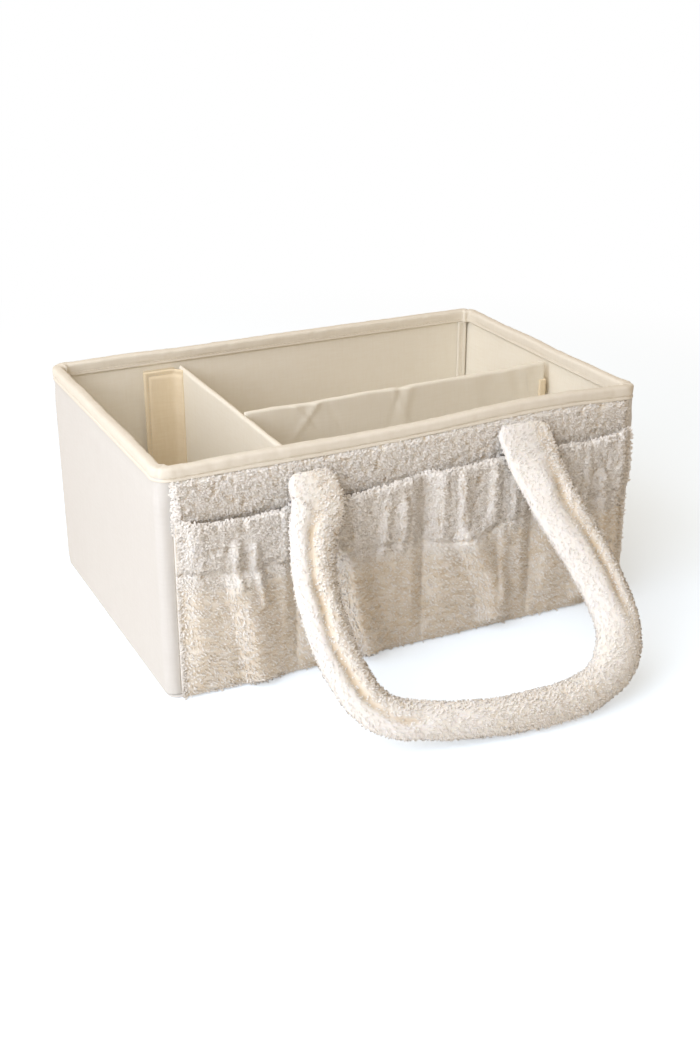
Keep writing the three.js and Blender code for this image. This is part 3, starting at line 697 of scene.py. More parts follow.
def rim_binding():
    """A folded tape over the top of all four walls, drawn in by its stitching."""
    half_x, half_y = span("rim_binding")[1][:2]
    points, normals = rounded_outline(half_x, half_y, radius=12.5, step=1.15)
    half, bend, width = 0.5, 2.2, BINDING_WIDTH
    levels = [BINDING_LOW + half + k for k in (0, 0.5, 1.0, 1.4, 1.8, 2.2, 2.6, 3.2, 4.4, 5.6)]
    turn = np.linspace(0.1, math.pi / 2, 6)
    outer_arc = [(half + bend * (1 - math.cos(a)), RIM - half - bend * (1 - math.sin(a)))
                 for a in turn]
    inner_arc = [(width - inset, height) for inset, height in outer_arc[::-1]]
    outer_leg = [(half, z) for z in levels]
    middle = [(width / 2, RIM - half)]
    inner_leg = [(width - half, z) for z in levels[::-1]]
    profile = ribbon(outer_leg + outer_arc + middle + inner_arc + inner_leg, 2 * half)
    count = len(points)
    way = np.linalg.norm(np.diff(points, axis=0, append=points[:1]), axis=1).cumsum()
    inset = np.broadcast_to(profile[:, 0], (count, len(profile)))
    height = np.broadcast_to(profile[:, 1], (count, len(profile)))
    line = np.dstack([np.repeat(way[:, None], len(profile), 1), inset, height])
    slant = line + np.stack([0.8 * height, 0 * inset, 0 * inset], -1)
    folds = 0.6 * drift(slant, (6, 9, 14), 71) + 0.4 * drift(line, (3, 6, 6), 73)
    groove = hump(height - STITCH_HEIGHT, 0.55)
    edge = smooth((STITCH_HEIGHT - height) / 0.9)
    upper = smooth((height - STITCH_HEIGHT) / 2) * smooth((RIM + 1 - height) / 3)
    corner = np.abs(np.abs(normals[:, 0]) - np.abs(normals[:, 1]))[:, None]
    mitre = hump(corner, 0.12) * smooth((height - STITCH_HEIGHT) / 1.5)
    swell = 0.55 * folds * (0.3 + 0.7 * upper) + 0.3 * drift(line, (34, 20, 20), 79) * upper
    swell += 0.4 * upper - 0.75 * groove + 0.35 * edge - 0.7 * mitre
    inset = inset + 3.4 * hump(corner, 0.55) * smooth((inset - width / 2) / 2)
    direction = unit(profile - np.array([width / 2, BINDING_LOW + 3.5]))
    free = np.where(np.arange(len(profile)) < len(profile) / 2 + 2, 1.0, 0.25)
    inward = profile[:, 0] > width - half
    free = np.where(inward & (profile[:, 1] < RIM - 3), 0.6, free)
    push = np.where(inward, np.maximum(swell, 0), swell) * free
    level = RIM_WAVE * drift(line * np.array([1, 0, 0]), 46, 85)
    level = level * smooth((height - BINDING_LOW) / 4)
    place = points[:, None] - normals[:, None] * (inset + direction[:, 0] * push)[..., None]
    rings = np.dstack([place, height + direction[:, 1] * push + level + rim_rise(place)])
    piece = make("rim_binding_cloth", rings, loft(rings, closed=True), BINDING)
    settle(piece, "caddy", ["rim_binding"])
    path = np.column_stack([points, STITCH_HEIGHT + rim_rise(points)])
    path = np.concatenate([path, path[:1]])
    turned_out = np.column_stack([normals, np.zeros(count)])
    turned_out = np.concatenate([turned_out, turned_out[:1]])
    for name, depth, sign in (("outer", 0.5, 1), ("inner", width + STITCH_LIFT, -1)):
        sew(f"rim_binding_{name}_stitches", "caddy", path - turned_out * depth,
            lambda runs: np.cross(runs, (0, 0, 1)) * sign)


def corner_bindings():
    for wall, end in itertools.product(("front", "back"), ("left", "right")):
        name = f"corner_binding_{wall}_{end}"
        low, high = span(name)
        facing = "+y" if wall == "front" else "-y"

        def relief(points):
            middle = abs(points[..., 0] - (low[0] + high[0]) / 2)
            fold = 0.45 * smooth((middle - 1) / 1.5) * smooth((4.4 - middle) / 1.2)
            return fold + 0.3 * drift(points, (5, 5, 12), 83) * smooth((middle - 1) / 2) + 0.1

        piece = flat_cloth(name + "_tape", name, facing, BINDING, relief, step=0.9, radius=0.6)
        settle(piece, "caddy", [name])
        face, outward = (high[1] + 0.1, 1) if wall == "front" else (low[1] - 0.1, -1)
        path = join((low[0] + high[0]) / 2, face, np.array([low[2] + 2, high[2] - 2]))
        sew(name + "_stitches", "caddy", path, np.array([0, outward, 0]))


def tapes():
    sewn = [
        ("front_loop_tape", "+y", "caddy", LOOP, "front_lining_cloth"),
        ("back_loop_tape", "-y", "caddy", LOOP, "back_lining_cloth"),
        ("right_loop_tape", "-x", "caddy", LOOP, "right_lining_cloth"),
        ("cross_divider_loop_tape", "+x", "cross_divider", LOOP, "cross_divider_cover_cloth"),
        ("cross_hook_front", "-y", "cross_front_flap", HOOK, "cross_flap_front_cloth"),
        ("cross_hook_back", "+y", "cross_back_flap", HOOK, "cross_flap_back_cloth"),
        ("long_hook_left", "-x", "long_left_flap", HOOK, "long_flap_left_cloth"),
        ("long_hook_right", "+x", "long_right_flap", HOOK, "long_flap_right_cloth"),
    ]
    for node, facing, body, material, backing in sewn:
        def relief(points):
            return 0.12 + 0.12 * drift(points, 2.2, 89)

        piece = flat_cloth(node + "_strip", node, facing, material, relief, step=1.2, radius=0.45)
        settle(piece, body, [node])


# A flap's way from its divider onto the wall, as (along the wall, away from it)
FROM_FACE = ((-0.6, 8.5), (0.4, 6.0), (1.6, 3.4), (3.8, 1.1), (6.6, 0.2), (10.0, 0.0))
ROUND_END = (
    (-5.6, 6.0), (-5.5, 3.0), (-4.9, 0.4), (-3.0, -0.7), (-0.8, -0.8), (2.0, -0.5), (6.0, 0.0),
)


def flap(node, divider_name, body, run_sign, wall_sign, way_on):
    """A doubled cloth that is sewn to its divider and turns onto the wall, where its hook tape
    presses on. A stitched frame goes round its three free sides."""
    low, high = span(node)
    run = 0 if divider_name == "cross_divider" else 1
    wall = 1 - run
    root = (low if run_sign > 0 else high)[run]
    length = high[run] - low[run]
    middle = (low[wall] + high[wall]) / 2
    thickness = high[wall] - low[wall] - 0.3
    path = np.array([*way_on, (length, 0.0)])
    t = way_along(path)
    heading = unit(np.gradient(path, t, axis=0))

    def in_box(along, off, height):
        return join(root + run_sign * along, middle - wall_sign * off, height,
                    order=(run, wall, 2))

    def place(u, v, w):
        along, off = (np.interp(u, t, path[:, k]) for k in (0, 1))
        ahead, outward = (np.interp(u, t, heading[:, k]) for k in (0, 1))
        lift = w - thickness / 2
        return in_box(along - outward * lift, off + ahead * lift, v)

    def relief(points):
        side = length - (points[..., run] - root) * run_sign
        ends = np.minimum(points[..., 2] - low[2], high[2] - points[..., 2])
        border = np.minimum(side, ends)
        inner = smooth((border - FLAP_SEAM) / 4)
        folds = swells(points, (20, 20, 7), 97)
        return 0.7 - 0.65 * hump(border - FLAP_SEAM - 0.6, 0.9) - inner * (0.35 - 0.85 * folds)

    us, vs = steps(0, t[-1], 0.9), steps(low[2], high[2], 0.9)
    piece = panel(node + "_cloth", us, vs, thickness, place, FLAP_SHADED_CLOTH, relief, 0.8)
    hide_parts(node)
    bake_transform(piece)
    edge = length - FLAP_SEAM
    bottom, top = low[2] + FLAP_SEAM, high[2] - FLAP_SEAM
    off = thickness / 2 + STITCH_LIFT
    frame_line = in_box(*np.array([
        (9, off, bottom), (edge, off, bottom), (edge, off, top), (9, off, top),
    ]).T)
    sew(node + "_stitches", body, frame_line, join(0, -wall_sign, 0, order=(run, wall, 2)))


def divider(name, calm_nodes, bulges, lifts, seed):
    """A cloth slip over a board, folded at the top and open along the bottom. A bulge is (place,
    slant, width, height, face), with face 1 or -1, and lifts tell how far its top edge rises."""
    low, high = span(name + "_cover")
    thin = 0 if high[0] - low[0] < high[1] - low[1] else 1
    wide = 1 - thin
    half = (high[thin] - low[thin]) / 2
    centre = (high[thin] + low[thin]) / 2
    start, stop = low[wide], high[wide]
    top, fold, cloth = high[2], 2.1, 0.8
    us = steps(start + half, stop - half, 2.0)
    turn = np.linspace(-math.pi / 2, math.pi / 2, 7)[1:-1]
    u = np.concatenate([
        us, stop - half + half * np.cos(turn), us[::-1], start + half - half * np.cos(turn),
    ])
    side = np.concatenate([np.ones(len(us)), -np.sin(turn), -np.ones(len(us)), np.sin(turn)])
    turn = np.linspace(0, math.pi / 2, 7)
    zs = np.concatenate([steps(low[2], top - fold, 2.4)[:-1], top - fold + fold * np.sin(turn)])
    share = np.concatenate([np.ones(len(zs) - 7), np.cos(turn)])
    grid_z, grid_u = np.meshgrid(zs, u, indexing="ij")
    point = join(grid_u, centre + half * side, grid_z, order=(wide, thin, 2))
    ends = smooth((grid_u - start) / 12) * smooth((stop - grid_u) / 12)
    loose = 0.35 + 0.35 * drift(point * (1 + 0.5 * side[:, None]), 38, seed)
    crown = smooth((grid_z - top + 42) / 42)
    for at, slant, width, height, face in bulges:
        off = grid_u - at - slant * (top - grid_z)
        loose = loose + height * crown * hump(off, width) * np.clip(1 + face * side, 0, 1)
    bulge = np.maximum(loose, 0) * away(point, calm_nodes, 14) * ends
    point[..., thin] = centre + side * (half + bulge) * share[:, None]
    lift = along_line(lifts, grid_u) + 0.3 + 0.3 * drift(point * np.array([1, 1, 0]), 16, seed + 3)
    point[..., 2] += np.maximum(lift, 0) * smooth((grid_z - top + 6) / 6)
    half_count = len(us) + 5
    point[-1, :, thin] = centre
    for first, last, near, end in (
        (len(us), half_count, len(us) - 1, stop - half),
        (half_count + len(us), len(u), 0, start + half),
    ):
        point[-1, first:last, wide] = end
        point[-1, first:last, 2] = point[-1, near, 2]
    point[-1, half_count:half_count + len(us)] = point[-1, :len(us)][::-1]
    piece = make(name + "_cover_cloth", point, loft(point)[:-2], LINING)
    thick = piece.modifiers.new("cloth thickness", "SOLIDIFY")
    thick.thickness = cloth * MM
    thick.offset = -1
    bpy.ops.object.select_all(action="DESELECT")
    bpy.context.view_layer.objects.active = piece
    piece.select_set(True)
    bpy.ops.object.modifier_apply(modifier=thick.name)
    settle(piece, name, [name + "_cover"])


# Fleece

def swirl(points, size, seed):
    """A smooth random shift for each point, from -1 to 1 along X, Y and Z."""
    return np.stack([drift(points, size, seed + k) for k in range(3)], -1)


def sherpa(points, seed, brushed=0):
    """Height of the curled pile, from 0 to 1. Brushed pile lies in fine leaning strokes."""
    curly = curls(points + 1.2 * swirl(points, 5, seed + 11), 3.6, seed)
    sweep = points + 4 * swirl(points, 16, seed + 21)
    strokes = swells(sweep, (5.5, 5.5, 1.8), seed + 31)
    return curly * (1 - brushed) + strokes * brushed


def turned(points, side):
    """The back is the front turned half round."""
    return points * np.array([-1, -1, 1]) if side == "back" else points


def facing(side):
    return np.array([0, -1 if side == "front" else 1, 0])


def fleece_wall(side, seed):
    """The long side's fleece. Its top band shows between the binding and the pockets."""
    xs = steps(-FLEECE_END - 0.25, FLEECE_END + 0.25, 1.1)
    zs = np.concatenate([
        steps(WALL_LOW, BAND_LOW, 6)[:-1], steps(BAND_LOW, BINDING_LOW - 0.5, 1.0),
        (BINDING_LOW + 0.4, BINDING_LOW + 1.5, WALL_HIGH - 3, WALL_HIGH),
    ])
    grid_x, grid_z = np.meshgrid(xs, zs, indexing="ij")
    base = join(grid_x, -BOARD_FACE - 4.5, grid_z)
    height = sherpa(base, seed)
    tuck = smooth((BINDING_LOW + 0.4 - grid_z) / 3.2)
    sides = smooth((FLEECE_END - abs(grid_x)) / 3.0) * 0.75 + 0.25
    above = smooth((grid_z - BAND_FREE) / 6)
    plump = 0.9 * smooth((BINDING_LOW - grid_z) / 12) + 0.6 * drift(base, (34, 34, 16), seed + 2)
    pile = 1.2 + plump * above + 2.1 * height * (0.35 + 0.65 * above)
    rise = along_line(FRONT_RIM_LINE, xs)[:, None] * (side == "front")

    def raised(z):
        return z + rise * smooth((z - BAND_FREE) / 24)

    stand = FLEECE_BACKING + pile * tuck * sides
    outer = join(grid_x, -BOARD_FACE - stand, raised(grid_z))
    inner_x, inner_z = np.meshgrid(xs, (WALL_HIGH, 110, WALL_LOW), indexing="ij")
    backing = join(inner_x, -BOARD_FACE, raised(inner_z))
    rings = turned(np.concatenate([outer, backing], 1), side)
    # painted shade: the pile is darker in the hollows between curls
    shade = np.concatenate([0.25 + 0.5 * height, np.zeros(inner_x.shape)], 1)
    cloth = make(f"{side}_fleece_cloth", rings, loft(rings), FLEECE, pile=shade)
    shown = (zs > 122) & (zs < BINDING_LOW)
    clumps = height[:, shown]
    grid = turned(outer[:, shown], side)
    share = smooth((BINDING_LOW - 0.2 - grid_z[:, shown]) / 1.5)
    pile_piece = tufts(
        f"{side}_band_pile", grid, facing(side), 1.6, seed, length=2.0 + 1.2 * at_end(grid),
        width=1.7 + 0.3 * at_end(grid), bend=1.7, lean=sideways(grid, 0.2, -0.4), wild=1.2,
        # tone 0.55 lower: painted shade on the band between the binding and the pockets, darker
        # still on low curls
        share=share * (0.4 + 0.9 * clumps + at_end(grid)), tone=0.9 * clumps - 0.55,
    )
    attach(pile_piece, "caddy")
    settle(cloth, "caddy", [f"{side}_fleece"])


def at_end(grid):
    """0 on most of the cloth, and 1 at its two upright edges."""
    return smooth((abs(grid[..., 0]) - FLEECE_END + 4) / 3)


def sideways(grid, across, up):
    """Which way the pile leans: mostly as given, and outwards over the seam at each end."""
    x, over = grid[..., 0], at_end(grid)
    return np.stack([across * (1 - over) + 3 * over * np.sign(x), 0 * x, up * (1 - over)], -1)


def nearest_of(places, x):
    """The distance from x to the nearest of some places."""
    return np.min(np.abs(x[..., None] - np.array(places)), -1)


def fullness(x, z):
    """How far the gathered cloth stands off the wall between its seams."""
    inset = nearest_of((-FLEECE_END, *POCKET_SEAMS, FLEECE_END), x)
    return POCKET_GAP * smooth(inset / SEAM_REACH) * smooth((z - WALL_LOW) / POCKET_RISE)


# Each fold: its left edge as (height, place) upwards, how far it stands out, the width of its
# steep left side, and the width of its fall to the right
FRONT_FOLDS = (
    (((1, -136.5), (18, -139), (42, -143), (74, -148), (92, -152)), 7.0, 12, 26),
    (((80, -145.5), (120, -145)), 2.8, 4, 5),
    (((66, -127), (95, -132), (116, -132)), 3.0, 4, 6),
    (((5, -48.8), (20, -54.4), (38, -59.5), (63, -65), (92, -67.5)), 10.0, 7, 24),
    (((84, -34), (126, -33)), 1.8, 4, 6),
    (((84, -20), (126, -19)), 1.6, 4, 6),
    (((8, 50.5), (35, 46), (57, 36.8), (79, 26.8), (90, 24)), 7.0, 13, 22),
    (((82, 28), (132, 27)), 2.2, 5, 8),
    (((92, 53), (132, 52)), 2.2, 5, 8),
    (((24, 61), (90, 62)), 2.0, 5, 8),
    (((80, 70), (128, 71)), 1.6, 4, 8),
    (((8, 131), (40, 128), (86, 119)), 3.6, 10, 26),
    (((84, 134), (128, 133)), 1.8, 4, 7),
    (((50, 152), (114, 147)), 2.2, 5, 9),
)
BACK_FOLDS = (
    (((4, -132), (40, -137), (88, -146)), 6.0, 12, 24),
    (((70, -120), (120, -118)), 2.4, 5, 8),
    (((6, -44), (50, -52), (86, -61)), 6.4, 10, 24),
    (((84, -30), (124, -31)), 2.0, 4, 7),
    (((60, -18), (116, -20)), 2.4, 5, 8),
    (((5, 50), (40, 44), (86, 33)), 6.6, 12, 22),
    (((84, 56), (128, 57)), 2.6, 4, 7),
    (((60, 70), (112, 72)), 2.0, 5, 8),
    (((8, 140), (40, 136), (86, 127)), 5.2, 10, 24),
    (((84, 150), (124, 149)), 2.2, 4, 7),
)
# by place along the wall: the rise of the pockets' top edge, and the height of the hem's stitching
POCKET_TOP_LINE = (
    (-179, -1.5), (-172, -2.5), (-160, -4.6), (-145, -5.4), (-109, -5.4), (-90, -4.4), (-66, -3.4),
    (-38, -2.6), (-11, 0.6), (16, 2.0), (57, 3.6), (115, 5.2), (140, 3.8), (172, 6.0), (179, 5.4),
)
STITCH_LINE = (
    (-172, 96.5), (-156, 93.5), (-139, 92), (-61, 91), (-30, 89.5), (-10, 88), (6, 84), (27, 81),
    (39, 84), (54, 83), (68, 89), (87, 90), (137, 93), (155, 94.5), (179, 98),
)
TOP_LINE_START = 100  # the hem follows its uneven top line from this height up
CASING = (99.8, 126.8)  # low and high end of the elastic's room in the hem
ELASTIC_ROOM = (1.5, 3.3)  # its near and far side from the back of the pocket's cloth


def fold_rise(folds, x, z):
    """How far the folds stand out at a place on the pocket."""
    rise = np.zeros(x.shape)
    for line, height, rising, falling in folds:
        foot, top = line[0][0], line[-1][0]
        off = x - along_line(line, z)
        ends = smooth((top + 4 - z) / 12) * smooth((z - foot + 6) / 12)
        up = smooth(off / rising) ** 0.7
        rise += 1.3 * height * ends * up * (1 - smooth((off - rising) / falling))
    return rise


def pocket(side, folds, seed):
    """One gathered cloth with upright seams. Its hem is turned in over an elastic."""
    xs = steps(-FLEECE_END - 0.25, FLEECE_END + 0.25, 1.05)
    face = steps(WALL_LOW, POCKET_TOP - 3, 1.05)
    rounds = np.linspace(0, math.pi, 8)[1:-1]
    zs = np.concatenate([face, np.full(len(rounds), face[-1])])
    grid_x, grid_z = np.meshgrid(xs, zs, indexing="ij")
    nearest = nearest_of(POCKET_SEAMS, grid_x)
    edge = FLEECE_END - abs(grid_x)
    gap = fullness(grid_x, grid_z)
    stitch_line = along_line(STITCH_LINE, grid_x)
    hem = smooth((grid_z - stitch_line) / 5)
    line = join(grid_x, 0.0, grid_z)
    gather = drift(line, (8, 8, 60), seed + 41) + 0.6 * drift(line, (4.5, 8, 26), seed + 43)
    cloth = 2.6 + 1.7 * hem * smooth((grid_z - stitch_line) / 14)
    cloth = cloth + gather * (0.3 + 0.9 * hem) * smooth(nearest / 8)
    cloth = cloth + fold_rise(folds, grid_x, grid_z) + 0.8 * drift(line, (30, 30, 26), seed + 45)
    cloth = cloth - 1.9 * hump(grid_z - stitch_line, 1.5) - 1.6 * hump(nearest, 1.8)
    cloth = cloth * (0.3 + 0.7 * smooth(edge / 8))
    cloth = cloth * (0.55 + 0.45 * smooth((grid_z - WALL_LOW) / 6))
    brushed = smooth((stitch_line - 3 - grid_z) / 16)
    base = join(grid_x, -WALL_FACE - gap - cloth, grid_z)
    height = sherpa(base, seed, 0.85 * brushed)
    depth = (2.0 - 1.2 * brushed) * (0.4 + 0.6 * smooth(edge / 4))
    casing_cover = (ELASTIC_ROOM[1] + 0.9) * smooth((grid_z - CASING[0] + 5) / 4)
    cloth = np.maximum(cloth, np.maximum(1.2, casing_cover))
    stand = gap + cloth + depth * (height - 0.25)
    ragged = 0.7 * drift(line * np.array([1, 0, 0]), 9, seed + 49)
    top_line = along_line(POCKET_TOP_LINE, xs) + ragged[:, 0]
    raised = top_line[:, None] * smooth((grid_z - TOP_LINE_START) / (face[-1] - TOP_LINE_START))
    outer = join(grid_x, -WALL_FACE - stand, grid_z + raised)
    count = len(face)
    radius = (stand[:, count - 1] - gap[:, count - 1]) / 2
    for k, angle in enumerate(rounds):
        fuzz = 1 + 0.2 * (height[:, count + k] - 0.5)
        stand_off = gap[:, count - 1] + radius * (1 + math.cos(angle) * fuzz)
        outer[:, count + k, 1] = -WALL_FACE - stand_off
        outer[:, count + k, 2] = face[-1] + top_line + 3.2 * math.sin(angle) * fuzz
    low, high = CASING
    near, far = ELASTIC_ROOM
    room = [(low - 4, near - 0.1), (low, near), (high, near), (high, far), (low, far),
            (low - 5, near + 0.25), (low - 6, near)]
    turned_in = [(z, 0.0, 1.0) for z in np.linspace(POCKET_TOP - 4, low - 4, 12)]
    inside = []
    for z, off, sway in turned_in + [(z, off, 0.0) for z, off in room] + [
        (z, 0.0, 0.0) for z in np.linspace(low - 7, WALL_LOW, 14)
    ]:
        share = smooth((z - TOP_LINE_START) / (POCKET_TOP - 4 - TOP_LINE_START))
        height_up = z + sway * top_line * share
        inside.append(join(xs, -WALL_FACE - fullness(xs, height_up) - off, height_up))
    inside = np.stack(inside, 1)
    rings = turned(np.concatenate([outer, inside], 1), side)
    # painted shade: the pile is darker in the hollows between curls, and a little darker where it
    # is brushed, lower down
    shade = np.concatenate([0.3 + 0.5 * height - 0.12 * brushed, np.full(inside.shape[:2], 0.3)], 1)
    cloth_piece = make(f"{side}_pocket_cloth", rings, loft(rings), FLEECE, pile=shade)
    seams = 1 - 0.75 * hump(nearest, 1.6)
    seams = seams * (1 - 0.8 * hump(grid_z - stitch_line, 1.3))
    grid = turned(outer, side)
    split = int(np.searchsorted(face, HEM_LINE - 10))
    upper, lower = np.s_[:, split:len(zs) - 1], np.s_[:, :split + 1]
    brim = np.s_[:, count - 3:len(zs) - 2]
    # tufts on low curls are toned darker: painted shade in the hollows
    tall = 0.8 * height - 0.4
    high_end, low_end = at_end(grid[upper]), at_end(grid[lower])
    pieces = [
        tufts(f"{side}_hem_pile", grid[upper], facing(side), 1.6, seed + 1,
              length=2.0 + 1.2 * high_end,
              width=1.5 + 0.2 * (1 - brushed[upper]) + 0.3 * high_end,
              bend=1.7, lean=sideways(grid[upper], 0.2, 0.25), wild=1.2,
              share=(seams * (0.4 + 0.9 * height))[upper] * (1 + high_end), tone=tall[upper]),
        tufts(f"{side}_pocket_pile", grid[lower], facing(side), 2.3, seed + 2,
              length=2.6 + 1.0 * low_end, width=1.4 + 0.4 * low_end, bend=2.2 - 0.6 * low_end,
              lean=sideways(grid[lower], 1.0, -0.5), wild=0.6,
              share=seams[lower] * (1 + 3 * low_end), tone=tall[lower]),
        # the brim's tufts are toned lighter: a painted highlight along the top edge
        tufts(f"{side}_pocket_brim_pile", grid[brim], facing(side), 1.5, seed + 3,
              length=2.6, width=1.7, bend=1.5, lean=(0, 0, 1), wild=1.0, tone=0.2),
    ]
    for piece in pieces:
        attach(piece, "caddy")
    settle(cloth_piece, "caddy", [f"{side}_pocket"])


# Handles

HANDLE_CONTROLS = (
    (-85, 22), (-85, 34.1), (-106.5, 51), (-106.5, 102.5), (-106.5, 152.1), (-97, 175.5),
    (-70, 182.5), (-39.6, 190.2), (-5.3, 196.5), (28, 196.5), (74.9, 197), (102.5, 181),
    (102.5, 143.5), (102.5, 104), (84, 60.2), (84, 22),
)
# share of the length, width, thickness, depth of the closing seam
HANDLE_SIZES = np.array([
    (0.0, 36, 7.5, 0.8), (0.02, 35, 12, 2.4), (0.06, 31, 15, 4.2), (0.12, 29, 16, 4.4),
    (0.22, 28.5, 17, 4.4), (0.33, 26, 19, 2.8), (0.38, 24.5, 21, 0.0), (0.45, 24, 22.5, 0.0),
    (0.62, 26, 22.5, 0.0), (0.70, 32, 22.5, 0.0), (0.78, 35, 20, 3.2), (0.86, 38, 18, 4.2),
    (0.94, 40, 16, 4.0), (0.98, 42, 13, 2.4), (1.0, 42, 7.5, 0.8),
])
# how curly its pile is, by share of the length
HANDLE_CURL = (
    (0, 1), (0.3, 1), (0.36, 0.25), (0.43, 0.3), (0.48, 0.75), (0.6, 0.75), (0.66, 0.5),
    (0.74, 0.5), (0.8, 1), (1, 1),
)
SEWN_TOPS = (4.0, -4.0)  # how far below the fold the left and right end of a handle start


def handle_line(step):
    """Even places along the handle's middle line, flat, as (sideways, down)."""
    controls = np.array(HANDLE_CONTROLS, float)
    t = np.linspace(0, 1, 300)[:, None]
    parts = []
    for i in range(0, len(controls) - 1, 3):
        a, b, c, d = controls[i:i + 4]
        parts.append(a * (1 - t) ** 3 + 3 * b * t * (1 - t) ** 2 + 3 * c * t * t * (1 - t)
                     + d * t ** 3)
    first, last = (
        np.column_stack([np.full(29, x), np.linspace(top, drop, 30)[:-1]])
        for top, (x, drop) in zip(SEWN_TOPS, controls[[0, -1]])
    )
    path = np.concatenate([first, *parts, last[::-1]])
    path = path[np.diff(way_along(path), prepend=-1) > 1e-9]
    way = way_along(path)
    even = steps(0, way[-1], step)
    return even, points_at(path, way, even)


def handle(side, seed):
    """A wadded fleece tube, closed by a seam along its upper face, with its ends sewn flat."""
    way, line = handle_line(1.1)
    total = way[-1]
    tangent = unit(np.gradient(line, axis=0))
    arm = HINGE_DROP + 3
    share = np.clip((way - arm) / (total - 2 * arm), 0, 1)
    row = np.clip(np.searchsorted(HANDLE_SIZES[:, 0], share) - 1, 0, len(HANDLE_SIZES) - 2)
    near, far = HANDLE_SIZES[row], HANDLE_SIZES[row + 1]
    mix = smooth((share - near[:, 0]) / (far[:, 0] - near[:, 0]))[:, None]
    width, thick, crease = ((near * (1 - mix) + far * mix)[:, 1:]).T[..., None]
    end = np.minimum(way, total - way)[:, None]
    round_end = np.sqrt(1 - (1 - np.clip(end / 9, 0.004, 1)) ** 2)
    corner = np.sqrt(1 - (1 - np.clip(end / 12, 0.02, 1)) ** 2.6)
    count = 80
    angle = np.linspace(0, 2 * math.pi, count, endpoint=False)[None, :]
    square = 0.35 * smooth(1 - 40 * share * (1 - share))[:, None]
    cos, sin = np.cos(angle), np.sin(angle)
    across = width / 2 * np.sign(cos) * np.abs(cos) ** (1 - square) * (0.45 + 0.55 * corner)
    on_right = (share > 0.5)[:, None]
    track = np.column_stack([way, 0 * way, 0 * way])
    wander = 0.12 * drift(track, 24, seed + 5)[:, None] + np.where(on_right, 0.34, 0.1)
    broken = 0.78 + 0.22 * np.clip(1.6 * drift(track, 15, seed + 6), -1, 1)[:, None]
    seam = angle - math.pi / 2 + wander
    groove = crease * broken * hump(seam, 0.26)
    lobes = 1 + 0.02 * crease * hump(abs(seam) - 0.7, 0.4)
    out = thick / 2 * np.sign(sin) * np.abs(sin) ** (1 - square) * lobes * round_end
    out = out - groove * round_end
    flat_end = smooth((30 - end) / 16)
    out = np.where(out < 0, np.maximum(out, -3.0 * flat_end - 40 * (1 - flat_end)), out)
    x = line[:, :1] - tangent[:, 1:] * across
    drop = line[:, 1:] + tangent[:, :1] * across
    local = np.stack([x, -out, -drop], -1)
    normal = grid_normals(local, local - np.stack([line[:, :1], 0 * line[:, :1], -line[:, 1:]], -1))
    creases = np.dstack([np.repeat(way[:, None], count, 1), across * np.ones_like(out), out])
    squeeze = 0.5 * drift(creases, (16, 12, 12), seed + 3)
    squeeze = squeeze + 0.3 * drift(creases, (7, 14, 14), seed + 4)
    seam_x = line[:, :1] - tangent[:, 1:] * (width / 2 * np.cos(math.pi / 2 - wander))
    left_lobe = smooth((seam_x - local[..., 0] + 3) / 6) * smooth(crease)
    curly = along_line(HANDLE_CURL, share)[:, None] * (1 - 0.85 * left_lobe)
    height = sherpa(local, seed)
    inside_seam = hump(seam, 0.17) * np.clip(crease * broken / 3, 0, 1)
    pile_height = (0.2 + 0.9 * curly) * height + 0.5 * (1 - curly)
    push = (squeeze - 0.8 + pile_height * (1 - 0.5 * inside_seam)) * np.clip(end / 3, 0, 1)
    local = local + normal * push[..., None]
    cos_t, sin_t = math.cos(HANDLE_TILT), math.sin(HANDLE_TILT)
    y = local[..., 1] * cos_t + local[..., 2] * sin_t + HANDLE_FOLD[1]
    z = -local[..., 1] * sin_t + local[..., 2] * cos_t + HANDLE_FOLD[2]
    points = turned(join(local[..., 0], np.minimum(y, -WALL_FACE), np.maximum(z, 0.2)), side)
    # painted shade: darker down in the seam's crease and in the hollows between curls; where the
    # pile is smooth, mostly the left lobe that faces the lamp, it is painted lighter, a painted
    # highlight
    shade = (0.25 + 0.45 * height * curly + 0.6 * (1 - curly)) * (1 - 0.75 * inside_seam)
    sleeve = make(f"{side}_handle_fleece", points, loft(points), FLEECE, pile=shade)
    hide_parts(*(f"{side}_handle_{part}" for part in ("tab_left", "tab_right", "sleeve")))
    covered = (1 - 0.8 * inside_seam) * smooth((points[..., 2] - 2.5) / 2)
    closed, length, share, tone = (np.concatenate([field, field[:, :1]], 1) for field in (
        points,
        (1.5 + 0.6 * curly) * (1 - 0.2 * smooth((24 - end) / 10)),
        covered * (0.45 + 0.3 * curly + 0.5 * curly * height),
        # tufts' tone: a painted highlight on the smooth pile, mostly the left lobe facing the lamp,
        # and painted shade on low curls
        0.7 * (1 - curly) + (0.5 * height - 0.25) * curly,
    ))
    outward = closed - closed.mean(1, keepdims=True)
    pile = tufts(f"{side}_handle_pile", closed, outward, 1.85, seed + 8, length=length,
                 width=1.5, bend=1.7, lean=(0.3, 0, -0.6), wild=0.8, share=share, tone=tone)

    for piece in (sleeve, pile):
        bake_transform(piece)


# Making everything

